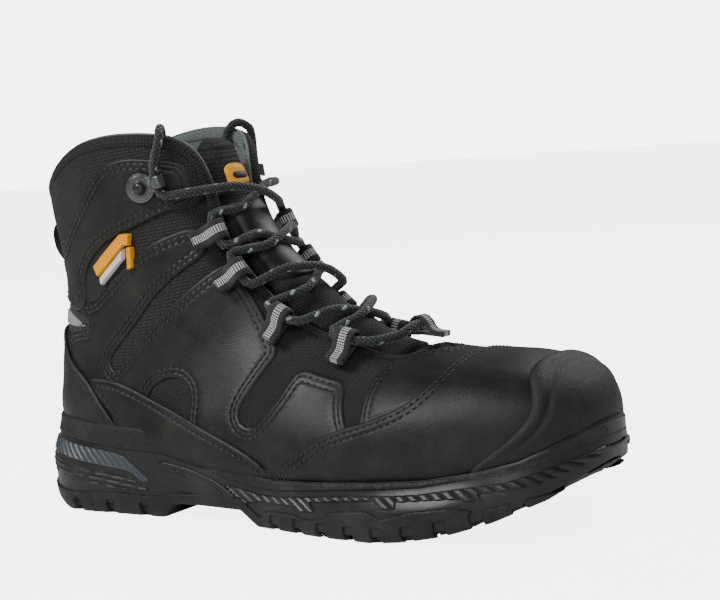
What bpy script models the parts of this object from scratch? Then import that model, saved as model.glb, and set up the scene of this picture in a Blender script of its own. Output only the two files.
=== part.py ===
"""Steel toe work boot, right foot: a laced six-inch safety boot on a cup sole.

The toe points along +X, the inner (medial) side is +Y and the ground is z = 0. The boot is drawn
as a shoemaker draws it: a last in millimetres on the sample size, panels as outlines in side view,
and a grading factor for each direction that carries the pattern to the size wanted.
"""

import math

import bmesh
import bpy
import numpy as np
from mathutils import Matrix, Vector

MM = 0.001

# Overall sizes, in millimetres, and the sample size that the pattern below is drawn on.
SOLE_LENGTH = 304.0
SOLE_WIDTH = 112.0
COLLAR_HEIGHT = 181.0
SAMPLE_LENGTH = 304.0
SAMPLE_WIDTH = 112.0
SAMPLE_HEIGHT = 181.0
GRADE = np.array(
    [SOLE_LENGTH / SAMPLE_LENGTH, SOLE_WIDTH / SAMPLE_WIDTH, COLLAR_HEIGHT / SAMPLE_HEIGHT]
)

# Walls, in millimetres.
FIT = 0.3
TEXTILE = 1.2
PADDING = 2.6
LINING = 0.9
LEATHER = 1.7
STEEL_CAP = 1.9
COUNTER_BOARD = 1.6
BUMPER = 2.2
INSOLE_BOARD = 1.8
PUNCTURE_PLATE = 0.8
FOOTBED = 4.5
TREAD_DEPTH = 4.0
SHANK = (96.0, 15.0, 1.6)

# Lacing and hardware, in millimetres.
LACE_DIAMETER = 4.2
LACE_CLEARANCE = 0.9
WEBBING = 1.3
WEBBING_WIDTH = 7.6
LOOP_TAB = 13.0
AGLET_LENGTH = 20.0
AGLET_DIAMETER = 3.4
HOOK_PLATE = 1.2
HOOK_WIDTH = 8.0
RIVET_HEAD = 3.8
RIVET_SHANK = 1.5
RIVET_WASHER = 8.0

# How far each layer's faces lie outside the last, from the skin inwards.
LEATHER_IN = FIT
LEATHER_OUT = LEATHER_IN + LEATHER
BUMPER_IN = LEATHER_OUT + FIT
BUMPER_OUT = BUMPER_IN + BUMPER
CUP = LEATHER_OUT + FIT
TEXTILE_IN = -TEXTILE
PADDING_OUT = TEXTILE_IN - FIT
PADDING_IN = PADDING_OUT - PADDING
LINING_OUT = PADDING_IN - FIT
LINING_IN = LINING_OUT - LINING
CAVITY = LINING_IN - FIT

# The last as stations from the collar (0) to the toe tip (17). Each row: front or top point (x, z),
# back or bottom point (x, z), half width, centre y, the share of the way from the first point to the
# second where the section is widest, and how square the section is above and below that place.
LAST = np.array(
    [
        (120, 194, 6, 182, 39.5, 0, 0.50, 2.2, 2.1),
        (121, 166, 9, 150, 38, 0, 0.50, 2.2, 2.1),
        (123, 150, 12, 129, 36.5, 0, 0.50, 2.2, 2.1),
        (130, 135, 13, 108, 36, 0, 0.52, 2.2, 2.1),
        (141, 121, 10, 86, 36, 0, 0.55, 2.2, 2.2),
        (155, 109, 7, 64, 37, 0, 0.60, 2.1, 2.3),
        (170, 98, 9, 42, 38.5, -1, 0.64, 2.0, 2.5),
        (184, 90, 38, 25, 40, -2, 0.66, 2.0, 2.8),
        (198, 83, 84, 24, 43, -3, 0.68, 2.0, 3.0),
        (212, 78, 130, 20, 47, -2, 0.70, 2.0, 3.2),
        (226, 77, 175, 17, 50.5, -1, 0.70, 2.1, 3.2),
        (240, 75, 210, 17, 51.5, 0, 0.68, 2.2, 3.2),
        (254, 73, 238, 18, 50, 2, 0.66, 2.4, 3.0),
        (267, 71, 261, 20, 46, 3, 0.62, 2.5, 2.8),
        (279, 67.5, 278, 23, 38.5, 4, 0.58, 2.5, 2.6),
        (289, 62, 289, 28, 29, 5, 0.55, 2.4, 2.4),
        (296, 55, 296.5, 34, 17, 6, 0.52, 2.2, 2.2),
        (299.5, 45, 299.5, 44, 0, 6, 0.50, 2.0, 2.0),
    ],
    float,
)
TOE_TIP = len(LAST) - 1
RING = 20

# Side-view lines (x, z) of the sole. UNDERSIDE is the tread line: heel, arch, ball and toe spring.
UNDERSIDE = [(0, 12), (6, 7), (14, 3.5), (26, 0), (88, 0), (96, 7), (138, 7), (148, 0), (215, 0),
             (232, 1.5), (250, 4.5), (270, 10), (290, 18), (304, 27)]
FOXING_TOP = [(0, 60), (12, 57), (30, 49), (46, 45), (79, 44), (103, 39), (134, 28), (160, 24),
              (187, 25), (243, 28), (263, 31), (281, 35), (290, 39), (304, 47)]
OUTSOLE_TOP = [(0, 16), (26, 11), (88, 11), (138, 13), (148, 10), (215, 10), (250, 15), (270, 19),
               (290, 24), (304, 33)]

# Side-view lines (x, z) where the upper's pieces meet.
RIM = [(-4, 150), (5, 152), (20, 161), (36, 171), (50, 178), (70, 181), (90, 180.5), (103, 178),
       (108, 175), (112, 169), (114.5, 160), (115, 156), (126, 148)]
ANKLE_TOP = [(20, 124), (26, 130), (40, 143), (52, 155), (60, 164), (68, 171), (81, 173.5),
             (95, 172), (106, 170), (110, 165), (110, 150)]
ANKLE_BOTTOM = [(110, 150), (90, 143), (80, 139), (67, 135), (57, 130), (47, 121), (42, 111),
                (44, 103), (36, 98), (24, 103), (16, 103)]
SLOT_ONE_LOW = [(110, 139), (89, 132), (72, 120), (60, 111), (50, 103), (44, 103)]
EYESTAY_B = [(118, 126), (112, 134), (110, 139)]
SLOT_TWO_UP = [(118, 126), (99, 114), (88, 105), (79, 95), (66, 82), (60, 77), (62, 70)]
SLOT_TWO_LOW = [(62, 70), (69, 75), (77, 84), (93, 98), (105, 107), (127, 122)]
EYESTAY_C = [(127, 122), (132, 113), (141, 101), (150, 88), (156, 79)]
SLOT_THREE = [(156, 79), (151, 71), (144, 60), (141, 53), (144, 48), (150, 46), (157, 52), (164, 61),
              (170, 73)]
EYESTAY_D = [(170, 73), (184, 69), (196, 67)]
SLOT_FOUR = [(196, 67), (199, 58), (201, 48)]
TOE_SEAM = [(150, 16), (158, 24), (168, 32), (179, 38), (191, 45), (201, 48), (217, 52), (232, 56),
            (246, 60), (256, 65), (258, 69), (256, 74), (256, 90)]
MUDGUARD_TOP = [(42, 66), (56, 66), (70, 64), (88, 57), (112, 48), (136, 40), (153, 33), (162, 27)]
COUNTER_FRONT = [(16, 90), (25, 78), (34, 72), (42, 66), (55, 51), (63, 46), (70, 34)]
MESH_WINDOW = [(84, 59), (88, 63), (94, 67), (101, 68), (107, 66), (111, 60), (111, 49)]
REFLECTIVE_STRIP = [(12, 99), (24, 99), (34, 95.5), (44, 91.5), (34, 91.5), (24, 92), (12, 93)]
BUMPER_EDGE = [(252, 24), (261, 33), (268, 38), (274, 43), (280, 49), (283, 55), (281.5, 62), (277, 68),
               (275, 90)]
BUMPER_FOOT = [(304, 36), (290, 27), (275, 24.5)]
THROAT_PLAN = [(215, -70), (212, -50), (212, -36), (215, -26), (222, -16), (229, -8), (231, 0)]
STABILISER_TOP = [(-6, 40), (14, 40), (28, 38), (45, 34.5), (67, 32.5)]
STABILISER_LOW = [(84, 18.5), (60, 22), (44, 25), (30, 27), (14, 29), (-6, 29)]

CAP_START = 246.0
COUNTER_BOARD_OUTLINE = [(-8, 12), (-8, 80), (12, 80), (34, 72), (58, 48), (66, 12)]
THROAT_HALF_WIDTH = 19.0
THROAT_DEPTH = 21.0
THROAT_END = 9.75
TONGUE_START, TONGUE_END = 0.38, 9.25
TONGUE_PROFILE = [(-25.0, -8.2, -10.8), (-18.5, -7.2, -10.4), (-15.5, -2.5, -9.0), (-9.0, 0.3, -7.5),
                  (0.0, 0.6, -7.0), (9.0, 0.3, -7.5), (15.5, -2.5, -9.0), (18.5, -7.2, -10.4),
                  (25.0, -8.2, -10.8)]

# Lacing. A place on the boot is (station, y, height above the last).
LOOP_STATIONS = (2.95, 4.25, 6.05, 8.0)
LOOP_RUN = 8.2
CENTRE_STATION = 9.15
CENTRE_HALF = 6.2
HOOK_STATION = 1.12
HOOK_HALF = 0.27
LACE_LINE = 21.5
HOOK_Y = 32.5
LACE_STEP = 11.0
SEAT = 2.1
EYE = LACE_DIAMETER / 2 + LACE_CLEARANCE
LACE_HEIGHT = LEATHER_OUT + FIT + SEAT + WEBBING + EYE
CENTRE_HEIGHT = LACE_HEIGHT + SEAT
HOOK_HEIGHT = LEATHER_OUT + FIT + SEAT / 2 + HOOK_PLATE + EYE
UNDER_HEIGHT = 2.6 + LACE_DIAMETER / 2
OVER_HEIGHT = UNDER_HEIGHT + LACE_DIAMETER + 1.2
RIVET_DEPTH = 2.6
HOOK_REACH = 14.5
OVER_RIM = [(0.44, 31.8, 5.0), (0.33, 31.9, 2.6), (0.27, 32.0, -1.6), (0.33, 32.2, -5.8),
            (0.48, 32.5, -8.3)]
TUCKED_HEIGHT = LINING_IN - LACE_DIAMETER / 2 - 0.9
DOWN_INSIDE = [(0.8, 0.31), (1.8, 0.34), (2.9, 0.375), (4.0, 0.42), (5.0, 0.47), (6.0, 0.53)]
ON_FOOTBED = [(103, 24.5, 47), (111, 23.5, 41.5), (124, 22.5, 38), (140, 23, 36), (156, 25, 34.8)]
# The shank lies over the arch and ends just behind the toe vamp's foot.
SHANK_FRONT_GAP = 3.0
SHANK_X = TOE_SEAM[0][0] - SHANK_FRONT_GAP - SHANK[0] / 2
SHANK_Y, SHANK_Z = -3.0, 15.6

# The heel pull loop, side view about its pivot.
PULL_PIVOT = (8.8, 0.0, 121.0)
PULL_OUTSIDE = [(0.2, -2.0), (0.4, 2.0), (0.2, 8.0), (-0.9, 15.0), (-3.5, 20.5), (-7.0, 21.0),
                (-9.3, 16.0), (-8.0, 8.0), (-4.0, 2.0), (-1.6, -2.0)]
PULL_INSIDE = [(-0.9, 4.0), (-1.1, 8.0), (-2.1, 14.5), (-4.1, 19.2), (-6.8, 19.6), (-8.0, 15.5),
               (-6.7, 8.6), (-3.4, 4.2)]
PULL_WIDTH = 14.0


def spline(rows, at):
    """Catmull-Rom values of a table at places counted in rows."""
    rows = np.asarray(rows, float)
    at = np.clip(np.asarray(at, float), 0, len(rows) - 1 - 1e-9)
    first = np.floor(at).astype(int)
    f = (at - first)[..., None]
    a, b, c, d = (rows[np.clip(first + k, 0, len(rows) - 1)] for k in (-1, 0, 1, 2))
    return 0.5 * (
        2 * b + (c - a) * f + (2 * a - 5 * b + 4 * c - d) * f**2 + (3 * b - a - 3 * c + d) * f**3
    )


def height_of(line, x):
    """Height of a side-view line at x, on the sample size."""
    xs, zs = zip(*line)
    return float(np.interp(x, xs, zs))


def last_at(station, around):
    """A point of the last. around runs from -1 (bottom) over 0 (ridge) to 1; positive is medial."""
    row = spline(LAST, station)
    fx, fz, bx, bz, width, centre, widest, above, below = row
    theta = abs(around) * math.pi
    cosine = math.cos(theta)
    share = widest * (1 - cosine) if cosine > 0 else widest - (1 - widest) * cosine
    power = above if cosine > 0 else below
    swell = max(0.0, 1 - abs(cosine) ** power) ** (1 / power)
    y = centre + math.copysign(max(width, 0.0) * swell, around)
    return np.array([fx + (bx - fx) * share, y, fz + (bz - fz) * share]) * GRADE


def normal_at(station, around):
    """The last's outward normal."""
    step = 0.02
    if station > TOE_TIP - 0.05:
        return np.array([1.0, 0.0, 0.0])
    along = last_at(min(station + step, TOE_TIP), around) - last_at(max(station - step, 0), around)
    left, right = around - step, around + step
    across = last_at(station, right if right <= 1 else right - 2) - last_at(
        station, left if left >= -1 else left + 2
    )
    normal = np.cross(along, across)
    normal /= np.linalg.norm(normal)
    middle = (last_at(station, 0) + last_at(station, 1)) / 2
    return normal if normal @ (last_at(station, around) - middle) > 0 else -normal


def skin(station, around, height):
    """A point at a height above the last, in millimetres."""
    return last_at(station, around) + normal_at(station, around) * height


def around_for(station, y):
    """Where round the upper half of a section the last is at y, on the sample size."""
    row = spline(LAST, station)
    swell = min(0.999, abs(y - row[5]) / max(row[4], 1e-6))
    cosine = (1 - swell ** row[7]) ** (1 / row[7])
    return math.copysign(math.acos(cosine) / math.pi, y - row[5])


def place(station, y, height):
    """A place on the boot, from (station, y, height), in millimetres."""
    return skin(station, around_for(station, y), height)


def material(name, colour, roughness, metallic=0.0):
    made = bpy.data.materials.new(name)
    made.use_nodes = True
    shader = made.node_tree.nodes["Principled BSDF"]
    shader.inputs["Base Color"].default_value = (*colour, 1)
    shader.inputs["Roughness"].default_value = roughness
    shader.inputs["Metallic"].default_value = metallic
    return made


def new_empty(name, at, parent=None):
    """A pivot, at a place in millimetres."""
    empty = bpy.data.objects.new(name, None)
    bpy.context.scene.collection.objects.link(empty)
    empty.parent = parent
    empty.location = Vector(at) * MM
    return empty


def new_object(name, data, finish=None, pivot=None):
    """An object drawn in the boot's own coordinates, hung on the root or on a joint's pivot."""
    obj = bpy.data.objects.new(name, data)
    bpy.context.scene.collection.objects.link(obj)
    obj.parent = pivot or ROOT
    if pivot:
        obj.location = -pivot.location
    if finish:
        data.materials.append(finish)
    return obj


def mesh_from(name, points, faces):
    """A mesh from points in millimetres, with its faces turned outwards."""
    mesh = bpy.data.meshes.new(name)
    mesh.from_pydata([Vector(p) * MM for p in points], [], faces)
    bm = bmesh.new()
    bm.from_mesh(mesh)
    bmesh.ops.remove_doubles(bm, verts=bm.verts, dist=1e-6)
    bmesh.ops.recalc_face_normals(bm, faces=bm.faces)
    bm.to_mesh(mesh)
    bm.free()
    return mesh


def helper(name, mesh):
    """A cutter: it shapes other pieces and isn't one itself."""
    obj = new_object(name, mesh)
    obj.hide_render = True
    obj.display_type = "WIRE"
    return obj


def combine(obj, other, operation):
    modifier = obj.modifiers.new(operation.title(), "BOOLEAN")
    modifier.operation = operation
    modifier.solver = "EXACT"
    modifier.object = other
    return obj


def skin_grid(height):
    """Rings of points round the last at one height, collar to toe, and the toe point."""
    arounds = [-1 + 2 * k / RING for k in range(RING)]
    rings = [[skin(s, a, height) for a in arounds] for s in range(TOE_TIP)]
    return rings, skin(TOE_TIP, 0, height)


def bag_faces(first, flip):
    """Faces of one bag-shaped grid whose points start at an index."""
    faces = []
    for row in range(TOE_TIP - 1):
        for k in range(RING):
            a, b = first + row * RING + k, first + row * RING + (k + 1) % RING
            faces += [[a, b, b + RING], [a, b + RING, a + RING]]
    tip = first + TOE_TIP * RING
    base = first + (TOE_TIP - 1) * RING
    faces += [[base + k, base + (k + 1) % RING, tip] for k in range(RING)]
    return [f[::-1] for f in faces] if flip else faces


def shell_mesh(name, outer, inner):
    """The whole upper between two heights, open at the collar."""
    points, faces = [], []
    for height, flip in ((outer, False), (inner, True)):
        first = len(points)
        rings, tip = skin_grid(height)
        points += [p for ring in rings for p in ring] + [tip]
        faces += bag_faces(first, flip)
    step = len(points) // 2
    faces += [[k, k + step, (k + 1) % RING + step, (k + 1) % RING] for k in range(RING)]
    return mesh_from(name, points, faces)


def block_mesh(name, height):
    """The whole upper as one block, out to a height."""
    rings, tip = skin_grid(height)
    points = [p for ring in rings for p in ring] + [tip]
    return mesh_from(name, points, bag_faces(0, False) + [list(range(RING))[::-1]])


def prism_mesh(name, outline, plane, low, high):
    """An outline given in side view (xz), plan (xy) or back view (yz), extruded across it."""
    index = {"xz": (0, 2, 1), "xy": (0, 1, 2), "yz": (1, 2, 0)}[plane]
    points = []
    outline = [p for k, p in enumerate(outline) if math.dist(p, outline[k - 1]) > 0.01]
    for depth in (low, high):
        for u, v in outline:
            p = [0.0, 0.0, 0.0]
            p[index[0]], p[index[1]], p[index[2]] = u, v, depth
            points.append(np.array(p) * GRADE)
    n = len(outline)
    sides = [[k, (k + 1) % n, (k + 1) % n + n, k + n] for k in range(n)]
    return mesh_from(name, points, [list(range(n))[::-1], list(range(n, 2 * n)), *sides])


def inset(outline, gap):
    """A closed outline moved inwards, so that neighbours keep a gap."""
    points = np.array(outline, float)
    points = points[np.linalg.norm(points - np.roll(points, 1, 0), axis=1) > 0.01]
    area = np.sum(points[:, 0] * np.roll(points[:, 1], -1) - points[:, 1] * np.roll(points[:, 0], -1))
    moved = []
    for before, here, after in zip(np.roll(points, 1, 0), points, np.roll(points, -1, 0)):
        first, second = here - before, after - here
        first, second = first / np.linalg.norm(first), second / np.linalg.norm(second)
        normals = [np.array([-d[1], d[0]]) * math.copysign(1, area) for d in (first, second)]
        bisector = normals[0] + normals[1]
        moved.append(here + bisector * gap / max(0.4, 0.5 * bisector @ bisector))
    return moved


WIDE = 90.0
LATERAL, MEDIAL, BOTH = (-WIDE, -0.5), (0.5, WIDE), (-WIDE, WIDE)
SIDES = (("lateral", LATERAL, -1), ("medial", MEDIAL, 1))


def panel(name, shell, outline, span, finish, plane="xz"):
    """A piece cut from a layer by an outline, as a die cuts leather."""
    obj = new_object(name, shell.copy(), finish)
    cutter = helper(f"{name}_die", prism_mesh(f"{name}_die", inset(outline, FIT / 2), plane, *span))
    return combine(obj, cutter, "INTERSECT")


def cut(obj, outline, span=BOTH, plane="xz"):
    name = f"{obj.name}_cut_{len(obj.modifiers)}"
    return combine(obj, helper(name, prism_mesh(name, outline, plane, *span)), "DIFFERENCE")


def above(line, top=260.0):
    """The side-view area above a line."""
    return [*line, (line[-1][0], top), (line[0][0], top)]


def tucked(drop, low, high, step=16):
    """Points just inside the cup, from x high back to x low."""
    xs = np.linspace(high, low, max(2, int(abs(high - low) / step)))
    return [(x, height_of(FOXING_TOP, x) - drop) for x in xs]


def throat_outline():
    stations = np.linspace(0, THROAT_END, 9)
    outer, inner = [], []
    for s in stations:
        row = spline(LAST, s)
        front, back = np.array(row[0:2]), np.array(row[2:4])
        down = (back - front) / np.linalg.norm(back - front)
        outer.append(tuple(front - down * THROAT_DEPTH))
        inner.append(tuple(front + down * THROAT_DEPTH))
    return outer + inner[::-1]


def open_throat(obj, half_width):
    return cut(obj, throat_outline(), (-half_width, half_width))


# --- sole ---------------------------------------------------------------------------------------

SOLE_HALF = [(0, 41.5), (42, 41.5), (75, 41), (110, 38.5), (150, 42.5), (188, 51), (222, 56), (304, 56)]
SOLE_CENTRE = [(0, -1.5), (70, -2.5), (110, -4.5), (150, -4.5), (188, -4), (222, -2), (253, 0),
               (280, 3), (304, 6)]
HEEL_ROUND = 42.0
TOE_ROUND = 79.0


def sole_half_width(x):
    half = height_of(SOLE_HALF, x)
    if x < HEEL_ROUND:
        half *= max(0.0, 1 - ((HEEL_ROUND - x) / HEEL_ROUND) ** 2.3) ** (1 / 2.2)
    from_toe = (x - SAMPLE_LENGTH + TOE_ROUND) / TOE_ROUND
    if from_toe > 0:
        half *= max(0.0, 1 - min(1.0, from_toe) ** 2.4) ** (1 / 2.2)
    return half


def sole_stations(step=12.0):
    """Stations along the sole, closer together in its round ends."""
    heel = [HEEL_ROUND * (1 - math.cos(t)) for t in np.linspace(0, math.pi / 2, 7)]
    toe = [SAMPLE_LENGTH - TOE_ROUND * (1 - math.cos(t)) for t in np.linspace(0, math.pi / 2, 8)]
    breaks = [x for x, _ in UNDERSIDE if HEEL_ROUND < x < SAMPLE_LENGTH - TOE_ROUND]
    middle = [x for x in np.arange(HEEL_ROUND + step, SAMPLE_LENGTH - TOE_ROUND - 4, step)
              if min(abs(x - b) for b in breaks) > 5]
    stations = sorted({round(x, 2) for x in heel + toe[::-1] + breaks + middle})
    stations[0], stations[-1] = 0.35, SAMPLE_LENGTH - 0.35
    return stations


def ends_drawn_in(x, inward):
    """A station moved in from the sole's round ends."""
    from_heel = max(0.0, 1 - x / HEEL_ROUND)
    from_toe = max(0.0, (x - SAMPLE_LENGTH + TOE_ROUND) / TOE_ROUND)
    return x + inward * (from_heel - from_toe)


def sole_block(name, low, high, insets):
    """A block with the sole's outline. insets are (share of the height, how far in the wall is)."""
    points, faces = [], []
    stations = sole_stations()
    ring = 2 * len(insets)
    for x in stations:
        z0, z1 = low(x), high(x)
        half, centre = sole_half_width(x), height_of(SOLE_CENTRE, x)
        wall = [(ends_drawn_in(x, inward), max(half * 0.3, half - inward), z0 + (z1 - z0) * share)
                for share, inward in insets]
        points += [np.array([u, centre - w, z]) * GRADE for u, w, z in wall]
        points += [np.array([u, centre + w, z]) * GRADE for u, w, z in wall[::-1]]
    for row in range(len(stations) - 1):
        for k in range(ring):
            a, b = row * ring + k, row * ring + (k + 1) % ring
            faces.append([a, b, b + ring, a + ring])
    last = (len(stations) - 1) * ring
    faces += [list(range(ring)), list(range(last, last + ring))]
    return mesh_from(name, points, faces)


def sole_middle():
    """The point on the ground under the middle of the sole."""
    edges = [(height_of(SOLE_CENTRE, x), sole_half_width(x)) for x in sole_stations()]
    low, high = min(c - h for c, h in edges), max(c + h for c, h in edges)
    return np.array([SAMPLE_LENGTH / 2, (low + high) / 2, 0.0]) * GRADE


def outsole_bottom(x):
    return height_of(UNDERSIDE, x)


def outsole_top(x):
    return height_of(OUTSOLE_TOP, x)


def build_outsole(rubber):
    """Rubber outsole: a plate with cleats left standing between cross grooves."""
    mesh = sole_block("outsole", outsole_bottom, outsole_top, ((0, 3.5), (0.3, 1.0), (1, 0.6)))
    outsole = new_object("outsole", mesh, rubber)
    groove = 4.5
    for x in (45, 66, 166, 186, 206, 226, 246, 265, 283):
        floor = outsole_bottom(x) + TREAD_DEPTH
        outline = [(x - groove / 2, -9), (x + groove / 2, -9), (x + groove / 2, floor),
                   (x - groove / 2, floor)]
        cut(outsole, outline)
    return outsole


def build_midsole(foam, cup):
    """Foam cup sole: it holds the upper in a hollow that follows the last."""
    mesh = sole_block(
        "midsole",
        lambda x: outsole_top(x) + FIT,
        lambda x: height_of(FOXING_TOP, x),
        ((0, 0.8), (0.45, 0.0), (0.8, 0.3), (1, 1.2)),
    )
    midsole = combine(new_object("midsole", mesh, foam), cup, "DIFFERENCE")
    length, width, thick = SHANK
    pocket = [(SHANK_X - length / 2 - 1, -5), (SHANK_X + length / 2 + 1, -5),
              (SHANK_X + length / 2 + 1, SHANK_Z + thick / 2 + FIT),
              (SHANK_X - length / 2 - 1, SHANK_Z + thick / 2 + FIT)]
    cut(midsole, pocket, (SHANK_Y - width / 2 - FIT, SHANK_Y + width / 2 + FIT))
    return midsole


def build_shank(steel):
    """Steel shank: a flat spring under the arch, with rounded ends."""
    length, width, thick = SHANK
    bend = width / 2
    arc = [math.pi * (k / 6 - 0.5) for k in range(7)]
    tip = SHANK_X + length / 2 - bend
    ends = [(tip + bend * math.cos(t), SHANK_Y + bend * math.sin(t)) for t in arc]
    outline = ends + [(2 * SHANK_X - x, 2 * SHANK_Y - y) for x, y in ends]
    mesh = prism_mesh("shank", outline, "xy", SHANK_Z - thick / 2, SHANK_Z + thick / 2)
    return new_object("shank", mesh, steel)


def build_stabiliser(midsole, plastic):
    """Hard plastic stabiliser let into the cup's wall round the heel."""
    outline = [*STABILISER_TOP, *STABILISER_LOW]
    deep = 2.0
    mesh = sole_block(
        "heel_stabiliser",
        lambda x: outsole_top(x) + FIT,
        lambda x: height_of(FOXING_TOP, x),
        ((0, 0.8), (0.45, 0.0), (0.8, 0.3), (1, 1.2)),
    )
    stabiliser = new_object("heel_stabiliser", mesh, plastic)
    core = helper("stabiliser_core", sole_block("stabiliser_core", lambda x: -5.0, lambda x: 90.0,
                                                ((0, deep), (1, deep))))
    combine(stabiliser, core, "DIFFERENCE")
    die = helper("stabiliser_die", prism_mesh("stabiliser_die", inset(outline, FIT), "xz", *BOTH))
    combine(stabiliser, die, "INTERSECT")
    seat = helper("stabiliser_seat", prism_mesh("stabiliser_seat", outline, "xz", *BOTH))
    seat_core = helper("seat_core", sole_block("seat_core", lambda x: -6.0, lambda x: 92.0,
                                               ((0, deep + FIT), (1, deep + FIT))))
    combine(seat, seat_core, "DIFFERENCE")
    combine(midsole, seat, "DIFFERENCE")
    return stabiliser


# --- inside the boot ----------------------------------------------------------------------------

BED_LINE = [(0, 25), (40, 25), (84, 24), (130, 20), (175, 17), (210, 17), (238, 18), (261, 20),
            (278, 23), (300, 29)]


def bed_layer(name, cavity, bottom, top, finish):
    """A sheet that fills the bottom of the hollow between two heights above the cup's floor."""
    outline = [(x, z + bottom) for x, z in BED_LINE] + [(x, z + top) for x, z in BED_LINE[::-1]]
    obj = new_object(name, cavity.data.copy(), finish)
    die = helper(f"{name}_die", prism_mesh(f"{name}_die", outline, "xz", *BOTH))
    return combine(obj, die, "INTERSECT")


def build_toe_cap(shell, steel):
    """Steel toe cap with an inturned flange along its foot."""
    outline = [(CAP_START, 0), (CAP_START, 90), (320, 90), (320, 0)]
    cap = panel("steel_toe_cap", shell, outline, BOTH, steel)
    hollow = [(235, -36), (262, -33), (278, -24), (286, -8), (287, 8), (282, 26), (264, 38), (235, 40)]
    return cut(cap, hollow, (-5, 30), "xy")


def build_inside(cavity, cap_layer, board_layer, padding, steel, board, foam):
    """Cap, heel counter and the sheets under the foot. The padding stops where they start."""
    build_toe_cap(cap_layer, steel)
    strip = [(CAP_START - 9, 0), (CAP_START - 9, 90), (CAP_START, 90), (CAP_START, 0)]
    panel("cap_edge_strip", cap_layer, strip, BOTH, foam)
    cut(padding, [(CAP_START - 9, -5), (CAP_START - 9, 95), (325, 95), (325, -5)])
    panel("heel_counter_board", board_layer, COUNTER_BOARD_OUTLINE, BOTH, board)
    cut(padding, COUNTER_BOARD_OUTLINE)
    plate_top = -CAVITY + PUNCTURE_PLATE
    board_top = plate_top + FIT + INSOLE_BOARD
    bed_layer("puncture_plate", cavity, -9.0, plate_top, steel)
    bed_layer("insole_board", cavity, plate_top + FIT, board_top, board)
    bed_layer("footbed", cavity, board_top + FIT, board_top + FIT + FOOTBED, foam)


# --- upper --------------------------------------------------------------------------------------


def build_layers(textile, foam, lining_cloth):
    """The three cloth layers, from the outside in, each one bag with the throat and rim cut out."""
    made = []
    for name, outer, inner, trim, finish in (
        ("textile_upper", 0.0, TEXTILE_IN, 0.0, textile),
        ("padding", PADDING_OUT, PADDING_IN, 0.7, foam),
        ("lining", LINING_OUT, LINING_IN, 0.3, lining_cloth),
    ):
        layer = new_object(name, shell_mesh(name, outer, inner), finish)
        cut(layer, above(RIM))
        made.append(open_throat(layer, THROAT_HALF_WIDTH + trim))
    return made


def build_panels(leather_shell, leather, cloth):
    """Leather panels, cut from one layer over the textile."""
    made = {}
    foot = [TOE_SEAM[1], *tucked(7, 68, 150)]
    collar = [*RIM[1:-1], *ANKLE_TOP[::-1][1:], (8, 119), (-6, 118)]
    made["collar_cover"] = panel("collar_cover", leather_shell, collar, BOTH, cloth)
    for side, span, _ in SIDES:
        ankle = [*ANKLE_TOP, *ANKLE_BOTTOM[1:]]
        made[f"ankle_panel_{side}"] = panel(f"ankle_panel_{side}", leather_shell, ankle, span, leather)
        quarter = [*SLOT_ONE_LOW, (36, 98), (48, 91), (24, 88), *COUNTER_FRONT[1:3], *MUDGUARD_TOP,
                   *TOE_SEAM[2:6], *SLOT_FOUR[::-1][1:], *EYESTAY_D[::-1][1:], *SLOT_THREE[::-1][1:],
                   *EYESTAY_C[::-1][1:], *SLOT_TWO_LOW[::-1][1:], *SLOT_TWO_UP[::-1][1:], *EYESTAY_B[1:-1]]
        made[f"quarter_{side}"] = panel(f"quarter_{side}", leather_shell, quarter, span, leather)
        cut(made[f"quarter_{side}"], [*MESH_WINDOW, (111, 40), (84, 40)], span)
        mudguard = [*MUDGUARD_TOP, *foot, *COUNTER_FRONT[4:6][::-1]]
        made[f"mudguard_{side}"] = panel(f"mudguard_{side}", leather_shell, mudguard, span, leather)
    counter = [(-6, 90), *COUNTER_FRONT, *tucked(9, -6, 62)]
    made["heel_counter_cover"] = panel("heel_counter_cover", leather_shell, counter, BOTH, leather)
    toe = [*TOE_SEAM, (320, 90), (320, 38), *tucked(7, 160, 300)]
    made["toe_vamp"] = panel("toe_vamp", leather_shell, toe, BOTH, leather)
    throat = [(201, 48), (201, 100), (256, 100), *TOE_SEAM[::-1][1:8]]
    made["throat_piece"] = panel("throat_piece", leather_shell, throat, BOTH, leather)
    mirrored = [(x, -y) for x, y in THROAT_PLAN[::-1][1:]]
    cut(made["throat_piece"], [(180, -70), *THROAT_PLAN, *mirrored, (180, 70)], (0, 120), "xy")
    backstay = [(-9, 90.4), (9, 90.4), (7.5, 117.6), (-7.5, 117.6)]
    made["backstay"] = panel("backstay", leather_shell, backstay, (-10, 40), leather, "yz")
    for side, span, _ in SIDES:
        cut(made[f"ankle_panel_{side}"], [(-9.4, 80), (9.4, 80), (7.9, 130), (-7.9, 130)], (-10, 40), "yz")
    return made


def build_trim(thin_shell, badge_shell, reflective, rubber):
    """Reflective strips in the heel windows, and the moulded badges over slot one."""
    for side, span, sign in SIDES:
        strip_span = (-WIDE, -11.0) if sign < 0 else (11.0, WIDE)
        panel(f"reflective_strip_{side}", thin_shell, REFLECTIVE_STRIP, strip_span, reflective)
        badge = [(50, 121), (56, 112.5), (76, 124), (80, 118), (82, 126), (78, 137)]
        panel(f"badge_{side}", badge_shell, badge, span, rubber)


def build_bumper(shell, midsole, rubber):
    """Toe bumper over the leather. The cup is cut back to take its foot."""
    outline = [*BUMPER_EDGE, (325, 90), (325, 44), *BUMPER_FOOT]
    bumper = panel("toe_bumper", shell, outline, BOTH, rubber)
    seat = helper("bumper_seat", block_mesh("bumper_seat", BUMPER_OUT + FIT))
    reach = helper("bumper_reach", prism_mesh("bumper_reach", outline, "xz", *BOTH))
    combine(seat, reach, "INTERSECT")
    combine(midsole, seat, "DIFFERENCE")
    return bumper


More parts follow.
